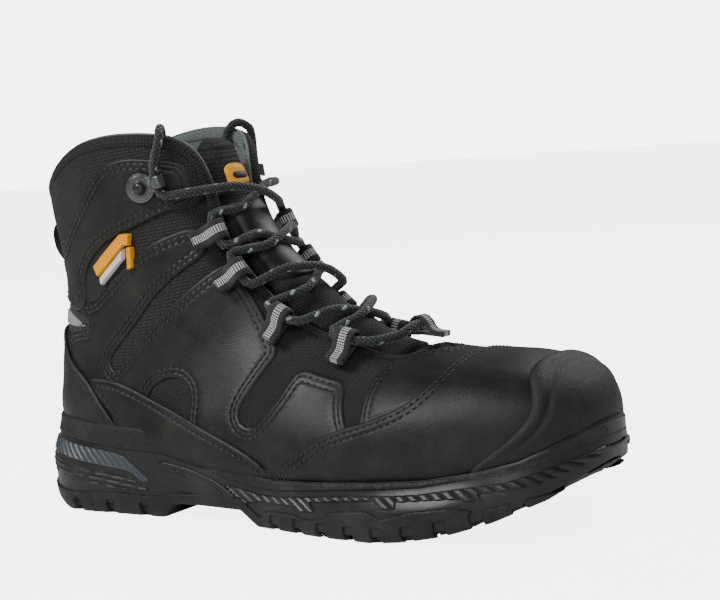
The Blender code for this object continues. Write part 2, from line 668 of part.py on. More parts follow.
def build_tongue(pivot, cloth, leather, rubber, lining_cloth):
    """Padded tongue with wings that tuck under the throat, its leather patch, badge and backing."""

    def sheet(name, start, end, rows, profile, finish):
        points, faces = [], []
        n = len(profile)
        for s in np.linspace(start, end, rows):
            ring = [place(max(s, 0.0), y, top) for y, top, _ in profile]
            ring += [place(max(s, 0.0), y, low) for y, _, low in profile[::-1]]
            points += ring
        for row in range(rows - 1):
            for k in range(2 * n):
                a, b = row * 2 * n + k, row * 2 * n + (k + 1) % (2 * n)
                faces.append([a, b, b + 2 * n, a + 2 * n])
        end_ring = (rows - 1) * 2 * n
        faces += [list(range(2 * n)), list(range(end_ring, end_ring + 2 * n))]
        return new_object(name, mesh_from(name, points, faces), finish, pivot)

    sheet("tongue", TONGUE_START, TONGUE_END, 16, TONGUE_PROFILE, cloth)
    patch = [(y, TONGUE_PROFILE[4][1] + FIT + 1.2 - abs(y) * 0.06, TONGUE_PROFILE[4][1] + FIT - abs(y) * 0.02)
             for y in (-8.5, 0.0, 8.5)]
    sheet("tongue_patch", 2.5, 4.6, 4, patch, leather)
    badge = [(y, top + 0.6, low) for y, top, low in patch]
    sheet("tongue_badge", 0.55, 1.6, 3, badge, rubber)
    backing = [(y, low - 2 * FIT, low - 2 * FIT - 0.9) for y, _, low in TONGUE_PROFILE[1:-1]]
    sheet("tongue_lining", TONGUE_START, 8.6, 12, backing, lining_cloth)


# --- lacing -------------------------------------------------------------------------------------


def loop_ends(station, side):
    """Where the lace enters and leaves a side loop, toe end first."""
    y = side * LACE_LINE
    spacing = np.linalg.norm(place(station + 0.5, y, 0) - place(station - 0.5, y, 0))
    half = LOOP_RUN / spacing
    return place(station + half, y, LACE_HEIGHT), place(station - half, y, LACE_HEIGHT)


def half_route(side):
    """Half of the lace, from the centre loop over the loops and a hook, then down inside the boot."""
    crossing = OVER_HEIGHT if side < 0 else UNDER_HEIGHT
    route = [place(CENTRE_STATION, side * CENTRE_HALF, CENTRE_HEIGHT),
             place(CENTRE_STATION - 0.12, side * 13.5, LACE_HEIGHT)]
    for station in LOOP_STATIONS[::-1]:
        route += loop_ends(station, side)
        above = max(s for s in (HOOK_STATION, *LOOP_STATIONS) if s < station)
        middle = (station + above) / 2
        spread = (station - above) * 0.2
        route += [place(middle + spread, side * 10.5, (crossing + LACE_HEIGHT) / 2 - 0.4)]
        route += [place(middle, 0, crossing)]
        route += [place(middle - spread, -side * 10.5, (crossing + LACE_HEIGHT) / 2 - 0.4)]
        side = -side
    route += [place(HOOK_STATION + 0.42, side * 23.0, HOOK_HEIGHT + SEAT)]
    route += [place(HOOK_STATION + HOOK_HALF, side * (HOOK_Y - 1.0), HOOK_HEIGHT)]
    route += [place(HOOK_STATION - HOOK_HALF, side * (HOOK_Y + 0.3), HOOK_HEIGHT)]
    route += [place(s, side * y, height) for s, y, height in OVER_RIM]
    route += [skin(s, side * around, TUCKED_HEIGHT) for s, around in DOWN_INSIDE]
    route += [np.array([x, side * y, z]) * GRADE for x, y, z in ON_FOOTBED]
    return route


def smooth_route(route, step):
    """Points along a smooth curve through the route, one interval at a time."""
    points = []
    for k in range(len(route) - 1):
        pieces = max(1, int(np.linalg.norm(route[k + 1] - route[k]) / step + 0.4))
        points += [spline(route, k + i / pieces) for i in range(pieces)]
    return points + [route[-1]]


def lace_points():
    """The whole lace and the straight run of each end that its tip holds."""
    medial, lateral = half_route(1), half_route(-1)
    route = medial[::-1] + lateral
    return smooth_route(route, LACE_STEP)


def tube(name, points, diameter, finish):
    """A round cord along points in millimetres."""
    curve = bpy.data.curves.new(name, "CURVE")
    curve.dimensions = "3D"
    curve.bevel_depth = diameter / 2 * MM
    curve.bevel_resolution = 2
    curve.use_fill_caps = True
    run = curve.splines.new("POLY")
    run.points.add(len(points) - 1)
    for point, place_ in zip(run.points, points):
        point.co = (*(Vector(place_) * MM), 1)
    return new_object(name, curve, finish)


def build_lace(cloth, plastic):
    points = lace_points()
    tube("lace", points, LACE_DIAMETER, cloth)
    for name, end, before in (("medial", points[0], points[1]), ("lateral", points[-1], points[-2])):
        direction = Vector(end - before).normalized()
        start = Vector(end) + direction * FIT
        tip = [np.array(start + direction * AGLET_LENGTH * k / 2) for k in range(3)]
        tube(f"lace_tip_{name}", tip, AGLET_DIAMETER, plastic)


def axes_between(first, second, outward, normal):
    """Axes of a fitting on the lace: its middle, out over the leather, along the lace, and up."""
    middle = Vector((first + second) / 2)
    along = Vector(second - first).normalized()
    out = Vector(outward) - middle
    out = (out - along * out.dot(along)).normalized()
    up = along.cross(out).normalized()
    return middle, out, along, up if up.dot(Vector(normal)) > 0 else -up


def fitting(name, outline, hole, width, axes, finish, pivot=None):
    """A strip bent to an outline in (out, up), with a round eye, extruded along the lace."""
    middle, out, along, up = axes
    n, m = len(outline), len(hole)
    points = []
    for depth in (-width / 2, width / 2):
        points += [np.array(middle + out * u + up * v + along * depth) for u, v in [*outline, *hole]]
    bm = bmesh.new()
    verts = [bm.verts.new(Vector(p) * MM) for p in points]
    for first in (0, n + m):
        rim = [bm.edges.new((verts[first + k], verts[first + (k + 1) % n])) for k in range(n)]
        rim += [bm.edges.new((verts[first + n + k], verts[first + n + (k + 1) % m])) for k in range(m)]
        bmesh.ops.triangle_fill(bm, edges=rim, use_beauty=True)
    for first, count in ((0, n), (n, m)):
        for k in range(count):
            a, b = first + k, first + (k + 1) % count
            bm.faces.new((verts[a], verts[b], verts[b + n + m], verts[a + n + m]))
    bmesh.ops.recalc_face_normals(bm, faces=bm.faces)
    mesh = bpy.data.meshes.new(name)
    bm.to_mesh(mesh)
    bm.free()
    return new_object(name, mesh, finish, pivot)


def arc(radius, start, end, steps):
    """Points on a circle round the origin, between two angles in degrees."""
    angles = [math.radians(start + (end - start) * k / steps) for k in range(steps + 1)]
    return [(radius * math.cos(t), radius * math.sin(t)) for t in angles]


def loop_outline():
    """Folded webbing: a round eye, and a tab of two plies sewn to the leather."""
    outer = EYE + WEBBING
    return [(LOOP_TAB, -outer), *arc(outer, 270, 40, 9), (outer + 1.5, 2 * WEBBING - outer),
            (LOOP_TAB, 2 * WEBBING - outer)]


def build_loops(webbing):
    """Eight side loops and the one at the foot of the throat."""
    eye = arc(EYE, 0, 315, 7)
    for side, _, sign in SIDES:
        for number, station in enumerate(LOOP_STATIONS, 1):
            first, second = loop_ends(station, sign)
            outward = place(station, sign * (LACE_LINE + LOOP_TAB), LACE_HEIGHT)
            axes = axes_between(first, second, outward, normal_at(station, 0))
            fitting(f"lace_loop_{side}_{number}", loop_outline(), eye, WEBBING_WIDTH, axes, webbing)
    first, second = (place(CENTRE_STATION, y, CENTRE_HEIGHT) for y in (-CENTRE_HALF, CENTRE_HALF))
    outward = place(CENTRE_STATION + 1.0, 0, CENTRE_HEIGHT)
    axes = axes_between(first, second, outward, normal_at(CENTRE_STATION, 0))
    fitting("lace_loop_centre", loop_outline(), eye, WEBBING_WIDTH, axes, webbing)


def cylinder_along(name, axes, at, radius, low, high, sides=12):
    """A round cutter or piece standing on a fitting, from one height to another."""
    middle, out, _, up = axes
    across = up.cross(out)
    centre = middle + out * at
    points = []
    for height in (low, high):
        for u, v in arc(radius, 0, 360 - 360 / sides, sides - 1):
            points.append(np.array(centre + out * u + across * v + up * height))
    rings = [[k, (k + 1) % sides, (k + 1) % sides + sides, k + sides] for k in range(sides)]
    return mesh_from(name, points, [list(range(sides)), list(range(sides, 2 * sides)), *rings])


def hook_outline():
    """Speed hook: a plate that curls back over the lace, closed on the throat's side."""
    outer = EYE + HOOK_PLATE
    return [(HOOK_REACH, -outer), *arc(outer, 270, 62, 9), *arc(EYE, 62, 270, 8), (HOOK_REACH, -EYE)]


def build_hooks(steel, black, panels, layers):
    """Two speed hooks, each with a rivet through the leather and a washer behind it."""
    textile, padding, _ = layers
    for side, _, sign in SIDES:
        first = place(HOOK_STATION + HOOK_HALF, sign * (HOOK_Y - 1.0), HOOK_HEIGHT)
        second = place(HOOK_STATION - HOOK_HALF, sign * (HOOK_Y + 0.3), HOOK_HEIGHT)
        outward = place(HOOK_STATION, sign * (HOOK_Y + 4.5), HOOK_HEIGHT)
        axes = axes_between(first, second, outward, np.array([0.0, sign, 0.0]))
        hook = fitting(f"lace_hook_{side}", hook_outline(), [], HOOK_WIDTH, axes, steel)
        at = HOOK_REACH - HOOK_WIDTH / 2
        top = -EYE
        foot = -HOOK_HEIGHT - RIVET_DEPTH
        bore_mesh = cylinder_along("bore", axes, at, RIVET_SHANK + FIT, foot - 3, 9)
        bore = helper(f"rivet_bore_{side}", bore_mesh)
        for piece in (hook, panels[f"ankle_panel_{side}"], textile):
            combine(piece, bore, "DIFFERENCE")
        pocket = helper(f"washer_pocket_{side}",
                        cylinder_along("pocket", axes, at, RIVET_WASHER / 2 + FIT, foot - 0.6, foot + 2))
        combine(padding, pocket, "DIFFERENCE")
        head = cylinder_along(f"hook_rivet_{side}", axes, at, RIVET_HEAD, top + FIT, top + FIT + 1.6)
        rivet = new_object(f"hook_rivet_{side}", head, black)
        shank = helper(f"rivet_shank_{side}",
                       cylinder_along("shank", axes, at, RIVET_SHANK, foot, top + FIT + 0.5))
        combine(rivet, shank, "UNION")
        washer_mesh = cylinder_along(f"hook_washer_{side}", axes, at, RIVET_WASHER / 2, foot, foot + 0.8)
        washer = new_object(f"hook_washer_{side}", washer_mesh, steel)
        combine(washer, bore, "DIFFERENCE")


# --- pull loop ----------------------------------------------------------------------------------


def build_pull_loop(webbing, pivot):
    """Webbing pull loop: a drop-shaped strap that flops on its sewn foot above the backstay."""
    middle = Vector(np.array(PULL_PIVOT) * GRADE)
    axes = (middle, Vector((1, 0, 0)), Vector((0, 1, 0)), Vector((0, 0, 1)))
    return fitting("pull_loop", PULL_OUTSIDE, PULL_INSIDE, PULL_WIDTH, axes, webbing, pivot)


# --- the whole boot -----------------------------------------------------------------------------

TONGUE_PIVOT = (226.0, 0.0, 74.0)
for leftover in list(bpy.data.objects):
    bpy.data.objects.remove(leftover)

ROOT = new_empty("boot", -sole_middle())


def main():
    leather = material("oiled_leather", (0.020, 0.020, 0.019), 0.42)
    nylon = material("ballistic_nylon", (0.022, 0.023, 0.024), 0.85)
    mesh_cloth = material("mesh_fabric", (0.012, 0.012, 0.013), 0.95)
    lining_cloth = material("lining_fabric", (0.045, 0.062, 0.055), 0.95)
    foam = material("padding_foam", (0.03, 0.03, 0.03), 0.95)
    webbing = material("webbing", (0.016, 0.016, 0.017), 0.9)
    cord = material("lace_cord", (0.014, 0.015, 0.016), 0.85)
    reflective = material("reflective_tape", (0.62, 0.64, 0.66), 0.35)
    badge = material("badge_rubber", (0.78, 0.66, 0.06), 0.5)
    rubber = material("sole_rubber", (0.014, 0.014, 0.015), 0.62)
    midsole_foam = material("midsole_foam", (0.020, 0.021, 0.023), 0.7)
    bumper_rubber = material("bumper_rubber", (0.016, 0.016, 0.016), 0.6)
    stabiliser_plastic = material("stabiliser_plastic", (0.055, 0.085, 0.10), 0.45)
    steel = material("steel", (0.55, 0.56, 0.57), 0.35, 1.0)
    black_steel = material("black_steel", (0.03, 0.03, 0.03), 0.35, 1.0)
    board = material("insole_board", (0.42, 0.34, 0.24), 0.9)
    plastic = material("black_plastic", (0.02, 0.02, 0.02), 0.4)

    cup = helper("cup", block_mesh("cup", CUP))
    cavity = helper("cavity", block_mesh("cavity", CAVITY))
    leather_layer = shell_mesh("leather_layer", LEATHER_OUT, LEATHER_IN)
    bumper_layer = shell_mesh("bumper_layer", BUMPER_OUT, BUMPER_IN)
    inner_layer = shell_mesh("inner_layer", PADDING_OUT, PADDING_OUT - STEEL_CAP)
    board_layer = shell_mesh("board_layer", PADDING_OUT, PADDING_OUT - COUNTER_BOARD)
    strip_layer = shell_mesh("strip_layer", LEATHER_IN + 0.6, LEATHER_IN)
    badge_layer = shell_mesh("badge_layer", BUMPER_IN + 1.4, BUMPER_IN)

    build_outsole(rubber)
    midsole = build_midsole(midsole_foam, cup)
    build_stabiliser(midsole, stabiliser_plastic)
    build_shank(steel)

    layers = build_layers(mesh_cloth, foam, lining_cloth)
    build_inside(cavity, inner_layer, board_layer, layers[1], steel, board, foam)
    panels = build_panels(leather_layer, leather, nylon)
    build_bumper(bumper_layer, midsole, bumper_rubber)
    build_trim(strip_layer, badge_layer, reflective, badge)

    tongue_pivot = new_empty("tongue_pivot", np.array(TONGUE_PIVOT) * GRADE, ROOT)
    build_tongue(tongue_pivot, nylon, leather, badge, lining_cloth)
    pull_pivot = new_empty("pull_loop_pivot", np.array(PULL_PIVOT) * GRADE, ROOT)
    build_pull_loop(webbing, pull_pivot)

    build_loops(webbing)
    build_hooks(steel, black_steel, panels, layers)
    build_lace(cord, plastic)


main()
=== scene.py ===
import math

import bmesh
import bpy
import numpy as np
from mathutils import Matrix, Vector, noise
from mathutils.kdtree import KDTree


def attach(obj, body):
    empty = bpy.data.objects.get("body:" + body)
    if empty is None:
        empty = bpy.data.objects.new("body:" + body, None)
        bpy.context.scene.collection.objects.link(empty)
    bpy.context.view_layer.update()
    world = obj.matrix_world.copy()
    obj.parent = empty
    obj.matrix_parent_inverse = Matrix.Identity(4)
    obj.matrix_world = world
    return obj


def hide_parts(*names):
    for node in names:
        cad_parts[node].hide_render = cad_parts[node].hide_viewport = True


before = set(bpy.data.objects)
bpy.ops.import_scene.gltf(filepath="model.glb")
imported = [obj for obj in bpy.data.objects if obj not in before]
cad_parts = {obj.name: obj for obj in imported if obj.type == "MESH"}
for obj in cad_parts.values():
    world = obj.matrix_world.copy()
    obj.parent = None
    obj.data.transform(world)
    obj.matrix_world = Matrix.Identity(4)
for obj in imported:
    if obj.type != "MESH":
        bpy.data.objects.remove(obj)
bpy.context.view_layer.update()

# A laced safety boot. The toe points along +X and +Y is the inner side. Everything below is drawn in
# millimetres on the shoemaker's last, with the back of the heel at x = 0, and goes into the frame by
# moving ORIGIN to the frame's zero.

MM = 0.001
ORIGIN = np.array([152.0, -1.5875, 0.0])

# The last as stations from the collar (0) to the toe tip (17): front or top (x, z), back or bottom
# (x, z), half width, centre y, where the section is widest, and how square it is above and below.
LAST = np.array(
    [
        (120, 194, 6, 182, 39.5, 0, 0.50, 2.2, 2.1),
        (121, 166, 9, 150, 38, 0, 0.50, 2.2, 2.1),
        (123, 150, 12, 129, 36.5, 0, 0.50, 2.2, 2.1),
        (130, 135, 13, 108, 36, 0, 0.52, 2.2, 2.1),
        (141, 121, 10, 86, 36, 0, 0.55, 2.2, 2.2),
        (155, 109, 7, 64, 37, 0, 0.60, 2.1, 2.3),
        (170, 98, 9, 42, 38.5, -1, 0.64, 2.0, 2.5),
        (184, 90, 38, 25, 40, -2, 0.66, 2.0, 2.8),
        (198, 83, 84, 24, 43, -3, 0.68, 2.0, 3.0),
        (212, 78, 130, 20, 47, -2, 0.70, 2.0, 3.2),
        (226, 77, 175, 17, 50.5, -1, 0.70, 2.1, 3.2),
        (240, 75, 210, 17, 51.5, 0, 0.68, 2.2, 3.2),
        (254, 73.5, 238, 18, 50, 2, 0.66, 2.5, 3.0),
        (267, 72.5, 261, 20, 46, 3, 0.62, 2.6, 2.8),
        (280, 69.5, 278, 23, 38.5, 4, 0.58, 2.7, 2.6),
        (290.5, 64, 289, 28, 29, 5, 0.55, 2.6, 2.4),
        (297, 56, 296.5, 34, 17, 6, 0.52, 2.3, 2.2),
        (299.5, 45, 299.5, 44, 0, 6, 0.50, 2.0, 2.0),
    ],
    float,
)
TOE_TIP = len(LAST) - 1

# Height of a leather piece's face over the last, and how far its cut edge is rounded, in millimetres.
LEATHER = 2.0
EDGE_RADIUS = 1.7

# Side-view lines (x, z).
FOXING_TOP = [(0, 46), (12, 47), (30, 46.5), (46, 45), (79, 44), (103, 39), (134, 28), (160, 24),
              (187, 25), (243, 28), (263, 31), (281, 35), (290, 39), (304, 47)]
UNDERSIDE = [(0, 12), (6, 7), (14, 3.5), (26, 0), (88, 0), (96, 7), (138, 7), (148, 0), (215, 0),
             (232, 1.5), (250, 4.5), (270, 10), (290, 18), (304, 27)]
RIM = [(-12, 150), (5, 152), (20, 161), (36, 171), (50, 178), (70, 181), (90, 180.5), (103, 178),
       (108, 175), (112, 169), (114.5, 160), (115, 156), (126, 148), (150, 130), (150, 20), (-12, 20)]
ANKLE_PANEL = [(20, 124), (26, 130), (40, 143), (52, 155), (60, 164), (68, 171), (81, 173.5),
               (95, 172), (106, 170), (110, 165), (111, 158), (110, 150), (101, 147), (90, 143),
               (80, 139), (67, 135), (57, 130), (47, 121), (43, 112), (44, 103), (36, 98), (24, 103),
               (12, 103), (12, 120)]
COLLAR = [(-12, 118), (-12, 190), (125, 190), (117, 158), (112, 146), (96, 146), (60, 140), (40, 130),
          (30, 118)]
QUARTER = [(111, 139), (89, 132), (72, 120), (60, 111), (50, 104), (42, 103), (36, 98), (48, 91),
           (24, 88), (22, 60), (80, 26), (168, 22), (212, 34), (204, 48), (199, 58), (196, 67),
           (184, 69), (170, 73), (164, 61), (157, 52), (150, 46), (144, 48), (141, 53), (144, 60),
           (151, 71), (156, 79), (150, 88), (141, 101), (132, 113), (127, 122), (116, 115),
           (105, 107), (93, 98), (77, 84), (69, 75), (62, 70), (59, 76), (66, 83), (79, 95), (88, 105),
           (99, 114), (118, 126), (113, 134)]
MESH_WINDOW = [(84, 40), (84, 59), (88, 64), (94, 67), (101, 68), (107, 66), (111, 60), (111, 40)]
TOE_VAMP = [(148, 12), (158, 24), (168, 32), (179, 38), (191, 45), (201, 48.5), (216, 52.5), (228, 57),
            (236, 62), (241, 68), (243, 75), (243, 95), (325, 95), (325, 10)]
MUDGUARD = [(42, 66), (56, 66.5), (70, 64), (88, 57), (112, 48), (136, 40), (153, 33), (166, 24),
            (150, 10), (60, 20), (63, 46), (55, 53)]
COUNTER = [(-14, 92), (16, 90.5), (25, 78), (34, 71), (45, 65), (55, 53), (63, 45), (70, 34), (62, 20),
           (-14, 20)]
THROAT_BACK = [(201, 40), (201, 100), (262, 100), (262, 66), (246, 58), (217, 48)]
THROAT_PLAN = [(213, -70), (210, -50), (209, -38), (210, -30), (214, -21), (221, -12.5), (228, -6),
               (231.5, 0)]
BUMPER_OUTLINE = [(248, 16), (256, 28), (263, 35), (269, 39), (275, 44), (280, 49), (283.5, 55),
                  (282, 62), (277.5, 68), (275, 74), (274, 95), (325, 95), (325, 10)]
HEEL_WINDOW = [(-12, 103.5), (24, 103.5), (36, 98.5), (49, 91), (36, 88.5), (24, 88), (-12, 90.5)]
REFLECTIVE = [(14, 99), (24, 99), (34, 95.5), (44, 91.5), (34, 91.3), (24, 91.8), (14, 93)]
THROAT_HALF = 19.0
THROAT_END = 9.75
LOOP_STATIONS = (2.95, 4.25, 6.05, 8.0)
SIDES = (("lateral", -1), ("medial", 1))


def spline(rows, at):
    """Catmull-Rom values of a table at places counted in rows."""
    rows = np.asarray(rows, float)
    at = np.clip(np.asarray(at, float), 0, len(rows) - 1 - 1e-9)
    first = np.floor(at).astype(int)
    f = (at - first)[..., None]
    a, b, c, d = (rows[np.clip(first + k, 0, len(rows) - 1)] for k in (-1, 0, 1, 2))
    return 0.5 * (2 * b + (c - a) * f + (2 * a - 5 * b + 4 * c - d) * f**2
                  + (3 * b - a - 3 * c + d) * f**3)


def fine_spline(rows, step):
    """The whole curve through a table, at even steps of its rows."""
    return spline(np.array(rows), np.arange(0, len(rows) - 1 + 1e-6, step))


def run_along(points):
    """The length of a line from its first point to each of its points."""
    return np.concatenate([[0], np.cumsum(np.linalg.norm(np.diff(points, axis=0), axis=1))])


def values_at(at, run, table):
    """A table's columns at places along a line."""
    return np.stack([np.interp(at, run, column) for column in np.asarray(table).T], 1)


def last_at(station, around):
    """Points of the last. around runs from -1 (bottom) over 0 (ridge) to 1; positive is medial."""
    station, around = np.broadcast_arrays(np.asarray(station, float), np.asarray(around, float))
    around = (around + 1) % 2 - 1
    fx, fz, bx, bz, width, centre, widest, above, below = np.moveaxis(spline(LAST, station), -1, 0)
    cosine = np.cos(np.abs(around) * math.pi)
    share = np.where(cosine > 0, widest * (1 - cosine), widest - (1 - widest) * cosine)
    power = np.where(cosine > 0, above, below)
    swell = np.clip(1 - np.abs(cosine) ** power, 0, 1) ** (1 / power)
    y = centre + np.where(around < 0, -1, 1) * np.maximum(width, 0) * swell
    return np.stack([fx + (bx - fx) * share, y, fz + (bz - fz) * share], -1)


def normals_at(station, around):
    """Outward normals of the last."""
    station, around = np.broadcast_arrays(np.asarray(station, float), np.asarray(around, float))
    step = 0.03
    inner = np.clip(station, step, TOE_TIP - 0.1)
    along = last_at(inner + step, around) - last_at(inner - step, around)
    across = last_at(inner, around + step) - last_at(inner, around - step)
    normal = np.cross(along, across)
    normal /= np.linalg.norm(normal, axis=-1, keepdims=True) + 1e-12
    middle = (last_at(inner, np.zeros_like(inner)) + last_at(inner, np.ones_like(inner) * 0.999)) / 2
    outward = np.sum(normal * (last_at(inner, around) - middle), -1) > 0
    normal = np.where(outward[..., None], normal, -normal)
    blend = np.clip((station - (TOE_TIP - 0.6)) / 0.6, 0, 1)[..., None]
    normal = normal * (1 - blend) + np.array([1.0, 0, 0]) * blend
    return normal / np.linalg.norm(normal, axis=-1, keepdims=True)


def around_for(station, y):
    """Where round the upper half of a section the last is at y."""
    row = spline(LAST, station)
    swell = min(0.999, abs(y - row[5]) / max(row[4], 1e-6))
    cosine = (1 - swell ** row[7]) ** (1 / row[7])
    return math.copysign(math.acos(cosine) / math.pi, y - row[5])


def skin(station, around, height):
    """A place over the last, from (station, around, height over the last)."""
    return last_at(station, around) + normals_at(station, around) * height


def place(station, y, height):
    """A place on the boot, from (station, y, height over the last)."""
    return skin(station, around_for(station, y), height)


# --- meshes from points in millimetres ----------------------------------------------------------


def finish_piece(obj, node_names, body="boot", smooth=40):
    """A finished piece: shaded, riding on its body, standing for its nodes."""
    if obj.type == "MESH":
        for polygon in obj.data.polygons:
            polygon.use_smooth = True
        if smooth:
            obj.data.set_sharp_from_angle(angle=math.radians(smooth))
    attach(obj, body)
    if node_names:
        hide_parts(*node_names)
    return obj


def piece_name(name):
    """A piece's name in the frame's spelling, told apart from the node that it stands for."""
    name = name.replace(" ", "_")
    return f"{name}_sewn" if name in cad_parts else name


def make_object(name, points, faces, finish, uv=None, merge=1e-6):
    """A mesh object from points in millimetres, its doubles merged and its faces turned outwards."""
    name = piece_name(name)
    mesh = bpy.data.meshes.new(name)
    mesh.from_pydata(((np.asarray(points) - ORIGIN) * MM).tolist(), [], [list(f) for f in faces])
    if uv is not None:
        layer = mesh.uv_layers.new(name="cut")
        index = np.empty(len(mesh.loops), int)
        mesh.loops.foreach_get("vertex_index", index)
        layer.data.foreach_set("uv", (np.asarray(uv)[index] * MM).ravel())
    bm = bmesh.new()
    bm.from_mesh(mesh)
    if merge:
        bmesh.ops.remove_doubles(bm, verts=bm.verts, dist=merge)
    bmesh.ops.recalc_face_normals(bm, faces=bm.faces)
    bm.to_mesh(mesh)
    bm.free()
    mesh.materials.append(finish)
    obj = bpy.data.objects.new(name, mesh)
    bpy.context.scene.collection.objects.link(obj)
    return obj


def ring_faces(n, m):
    """The faces of a tube of n rings of m points, with its two ends capped."""
    faces = []
    for i in range(n - 1):
        for j in range(m):
            after = (j + 1) % m
            faces.append((i * m + j, i * m + after, (i + 1) * m + after, (i + 1) * m + j))
    return faces + [tuple(range(m))[::-1], tuple(range((n - 1) * m, n * m))]


# --- cutting pieces out of the last's surface ---------------------------------------------------

P, N, UV, AROUND, STATION, FIELD = slice(0, 3), slice(3, 6), slice(6, 8), 8, 9, 10


def grid_triangles(n, m):
    """The triangles of a grid of n rows of m points."""
    at = np.arange(n * m).reshape(n, m)
    a, b, c, d = at[:-1, :-1].ravel(), at[:-1, 1:].ravel(), at[1:, 1:].ravel(), at[1:, :-1].ravel()
    return np.concatenate([np.stack([a, b, c], 1), np.stack([a, c, d], 1)])


def last_grid(stations, arounds):
    """The last's surface as rows of points, normals and cloth coordinates, and its triangles."""
    s, a = np.meshgrid(stations, arounds, indexing="ij")
    points, normals = last_at(s, a), normals_at(s, a)
    girth = np.cumsum(np.linalg.norm(np.diff(points, axis=1, prepend=points[:, :1]), axis=-1), 1)
    girth -= girth[:, [len(arounds) // 2]]
    run = np.cumsum(np.linalg.norm(np.diff(points, axis=0, prepend=points[:1]), axis=-1), 0)
    columns = [points, normals, girth[..., None], run[..., None], a[..., None], s[..., None]]
    rows = np.concatenate([*columns, np.zeros(s.shape + (1,))], -1).reshape(-1, 11)
    return rows, grid_triangles(*s.shape)


CORNER_CUT = 0.22


def chaikin(outline, rounds=2):
    """A closed outline with its corners cut, so that it runs in curves."""
    points = np.array(outline, float)
    for _ in range(rounds):
        after = np.roll(points, -1, 0)
        near = points * (1 - CORNER_CUT) + after * CORNER_CUT
        far = points * CORNER_CUT + after * (1 - CORNER_CUT)
        points = np.stack([near, far], 1).reshape(-1, 2)
    return points


def inside_by(points, outline):
    """How far points lie inside a closed outline; negative outside it."""
    nearest = np.full(len(points), 1e9)
    inside = np.zeros(len(points), bool)
    for start, end in zip(outline, np.roll(outline, -1, 0)):
        edge = end - start
        share = np.clip((points - start) @ edge / (edge @ edge + 1e-12), 0, 1)
        nearest = np.minimum(nearest, np.linalg.norm(points - start - share[:, None] * edge, axis=1))
        crosses = (start[1] > points[:, 1]) != (end[1] > points[:, 1])
        with np.errstate(divide="ignore", invalid="ignore"):
            at = start[0] + (points[:, 1] - start[1]) / (end[1] - start[1]) * edge[0]
        inside ^= crosses & (points[:, 0] < at)
    return np.where(inside, nearest, -nearest)


def side_view(rows, outline, rounds=2):
    """How far points lie inside an outline drawn in side view."""
    return inside_by(rows[:, [0, 2]], chaikin(outline, rounds))


def split(rows, triangles, level, column=FIELD):
    """Triangles cut along one level of a column. Points already close to the level move onto it."""
    value = rows[:, column].copy()
    near = np.abs(value - level) < 0.04
    rows = rows.copy()
    rows[near, column] = level
    value = rows[:, column] - level
    sign = np.where(np.abs(value) < 1e-9, 0, np.sign(value)).astype(int)
    corner = sign[triangles]
    crossed = (corner.min(1) < 0) & (corner.max(1) > 0)
    kept = [triangles[~crossed]]
    made, new_rows, new_triangles = {}, [], []

    def between(i, j):
        key = (i, j) if i < j else (j, i)
        if key not in made:
            share = value[key[0]] / (value[key[0]] - value[key[1]])
            row = rows[key[0]] + (rows[key[1]] - rows[key[0]]) * share
            row[column] = level
            made[key] = len(rows) + len(new_rows)
            new_rows.append(row)
        return made[key]

    for triangle in triangles[crossed].tolist():
        s = [sign[k] for k in triangle]
        if 0 in s:
            k = s.index(0)
            i, j, m = triangle[k], triangle[(k + 1) % 3], triangle[(k + 2) % 3]
            x = between(j, m)
            new_triangles += [(i, j, x), (i, x, m)]
            continue
        lone = next(k for k in range(3) if s[k] != s[(k + 1) % 3] and s[k] != s[(k + 2) % 3])
        i, j, m = triangle[lone], triangle[(lone + 1) % 3], triangle[(lone + 2) % 3]
        x, y = between(i, j), between(i, m)
        new_triangles += [(i, x, y), (x, j, m), (x, m, y)]
    if new_rows:
        rows = np.vstack([rows, new_rows])
        kept.append(np.array(new_triangles, int))
    return rows, np.vstack(kept)


def compact(rows, triangles):
    """Only the rows that the triangles use."""
    used, index = np.unique(triangles, return_inverse=True)
    return rows[used], index.reshape(-1, 3)


def cut_out(grid, field, levels):
    """The part of a grid where a field is positive, with its triangles split at each level."""
    rows, triangles = grid
    rows = rows.copy()
    rows[:, FIELD] = field
    near = (field[triangles] > -8).any(1)
    rows, triangles = compact(rows, triangles[near])
    rows, triangles = split(rows, triangles, 0.0)
    keep = rows[triangles, FIELD].mean(1) > 1e-9
    rows, triangles = compact(rows, triangles[keep])
    for level in levels:
        if level < rows[:, FIELD].max():
            rows, triangles = split(rows, triangles, level)
    return compact(rows, triangles)


EDGE_LEVELS = (0.18, 0.5, 1.0, 1.7)
SEAM_ROWS = (2.5, 4.9)
SEAM_HALF = 0.75


def edge_height(inside, low, high, radius):
    """Height across a piece's edge: a quarter round from low up to high."""
    share = np.clip(1 - inside / radius, 0, 1)
    return low + (high - low) * np.sqrt(np.clip(1 - share**2, 0, 1))


def seam_levels(seams):
    """The levels that a seam's trough needs."""
    return [s + k * SEAM_HALF for s in seams for k in (-1, 0, 1)]


def pulled_in(inside, seams, depth):
    """The trough that a row of stitches pulls in leather."""
    height = np.zeros_like(inside)
    for s in seams:
        height -= depth * np.clip(1 - np.abs(inside - s) / SEAM_HALF, 0, 1)
    return height


def hide_swell(points, size, scale):
    """Soft unevenness of hide or cloth stretched over a last."""
    waves = [noise.noise(Vector(p) * scale) for p in points]
    return np.array(waves) * size


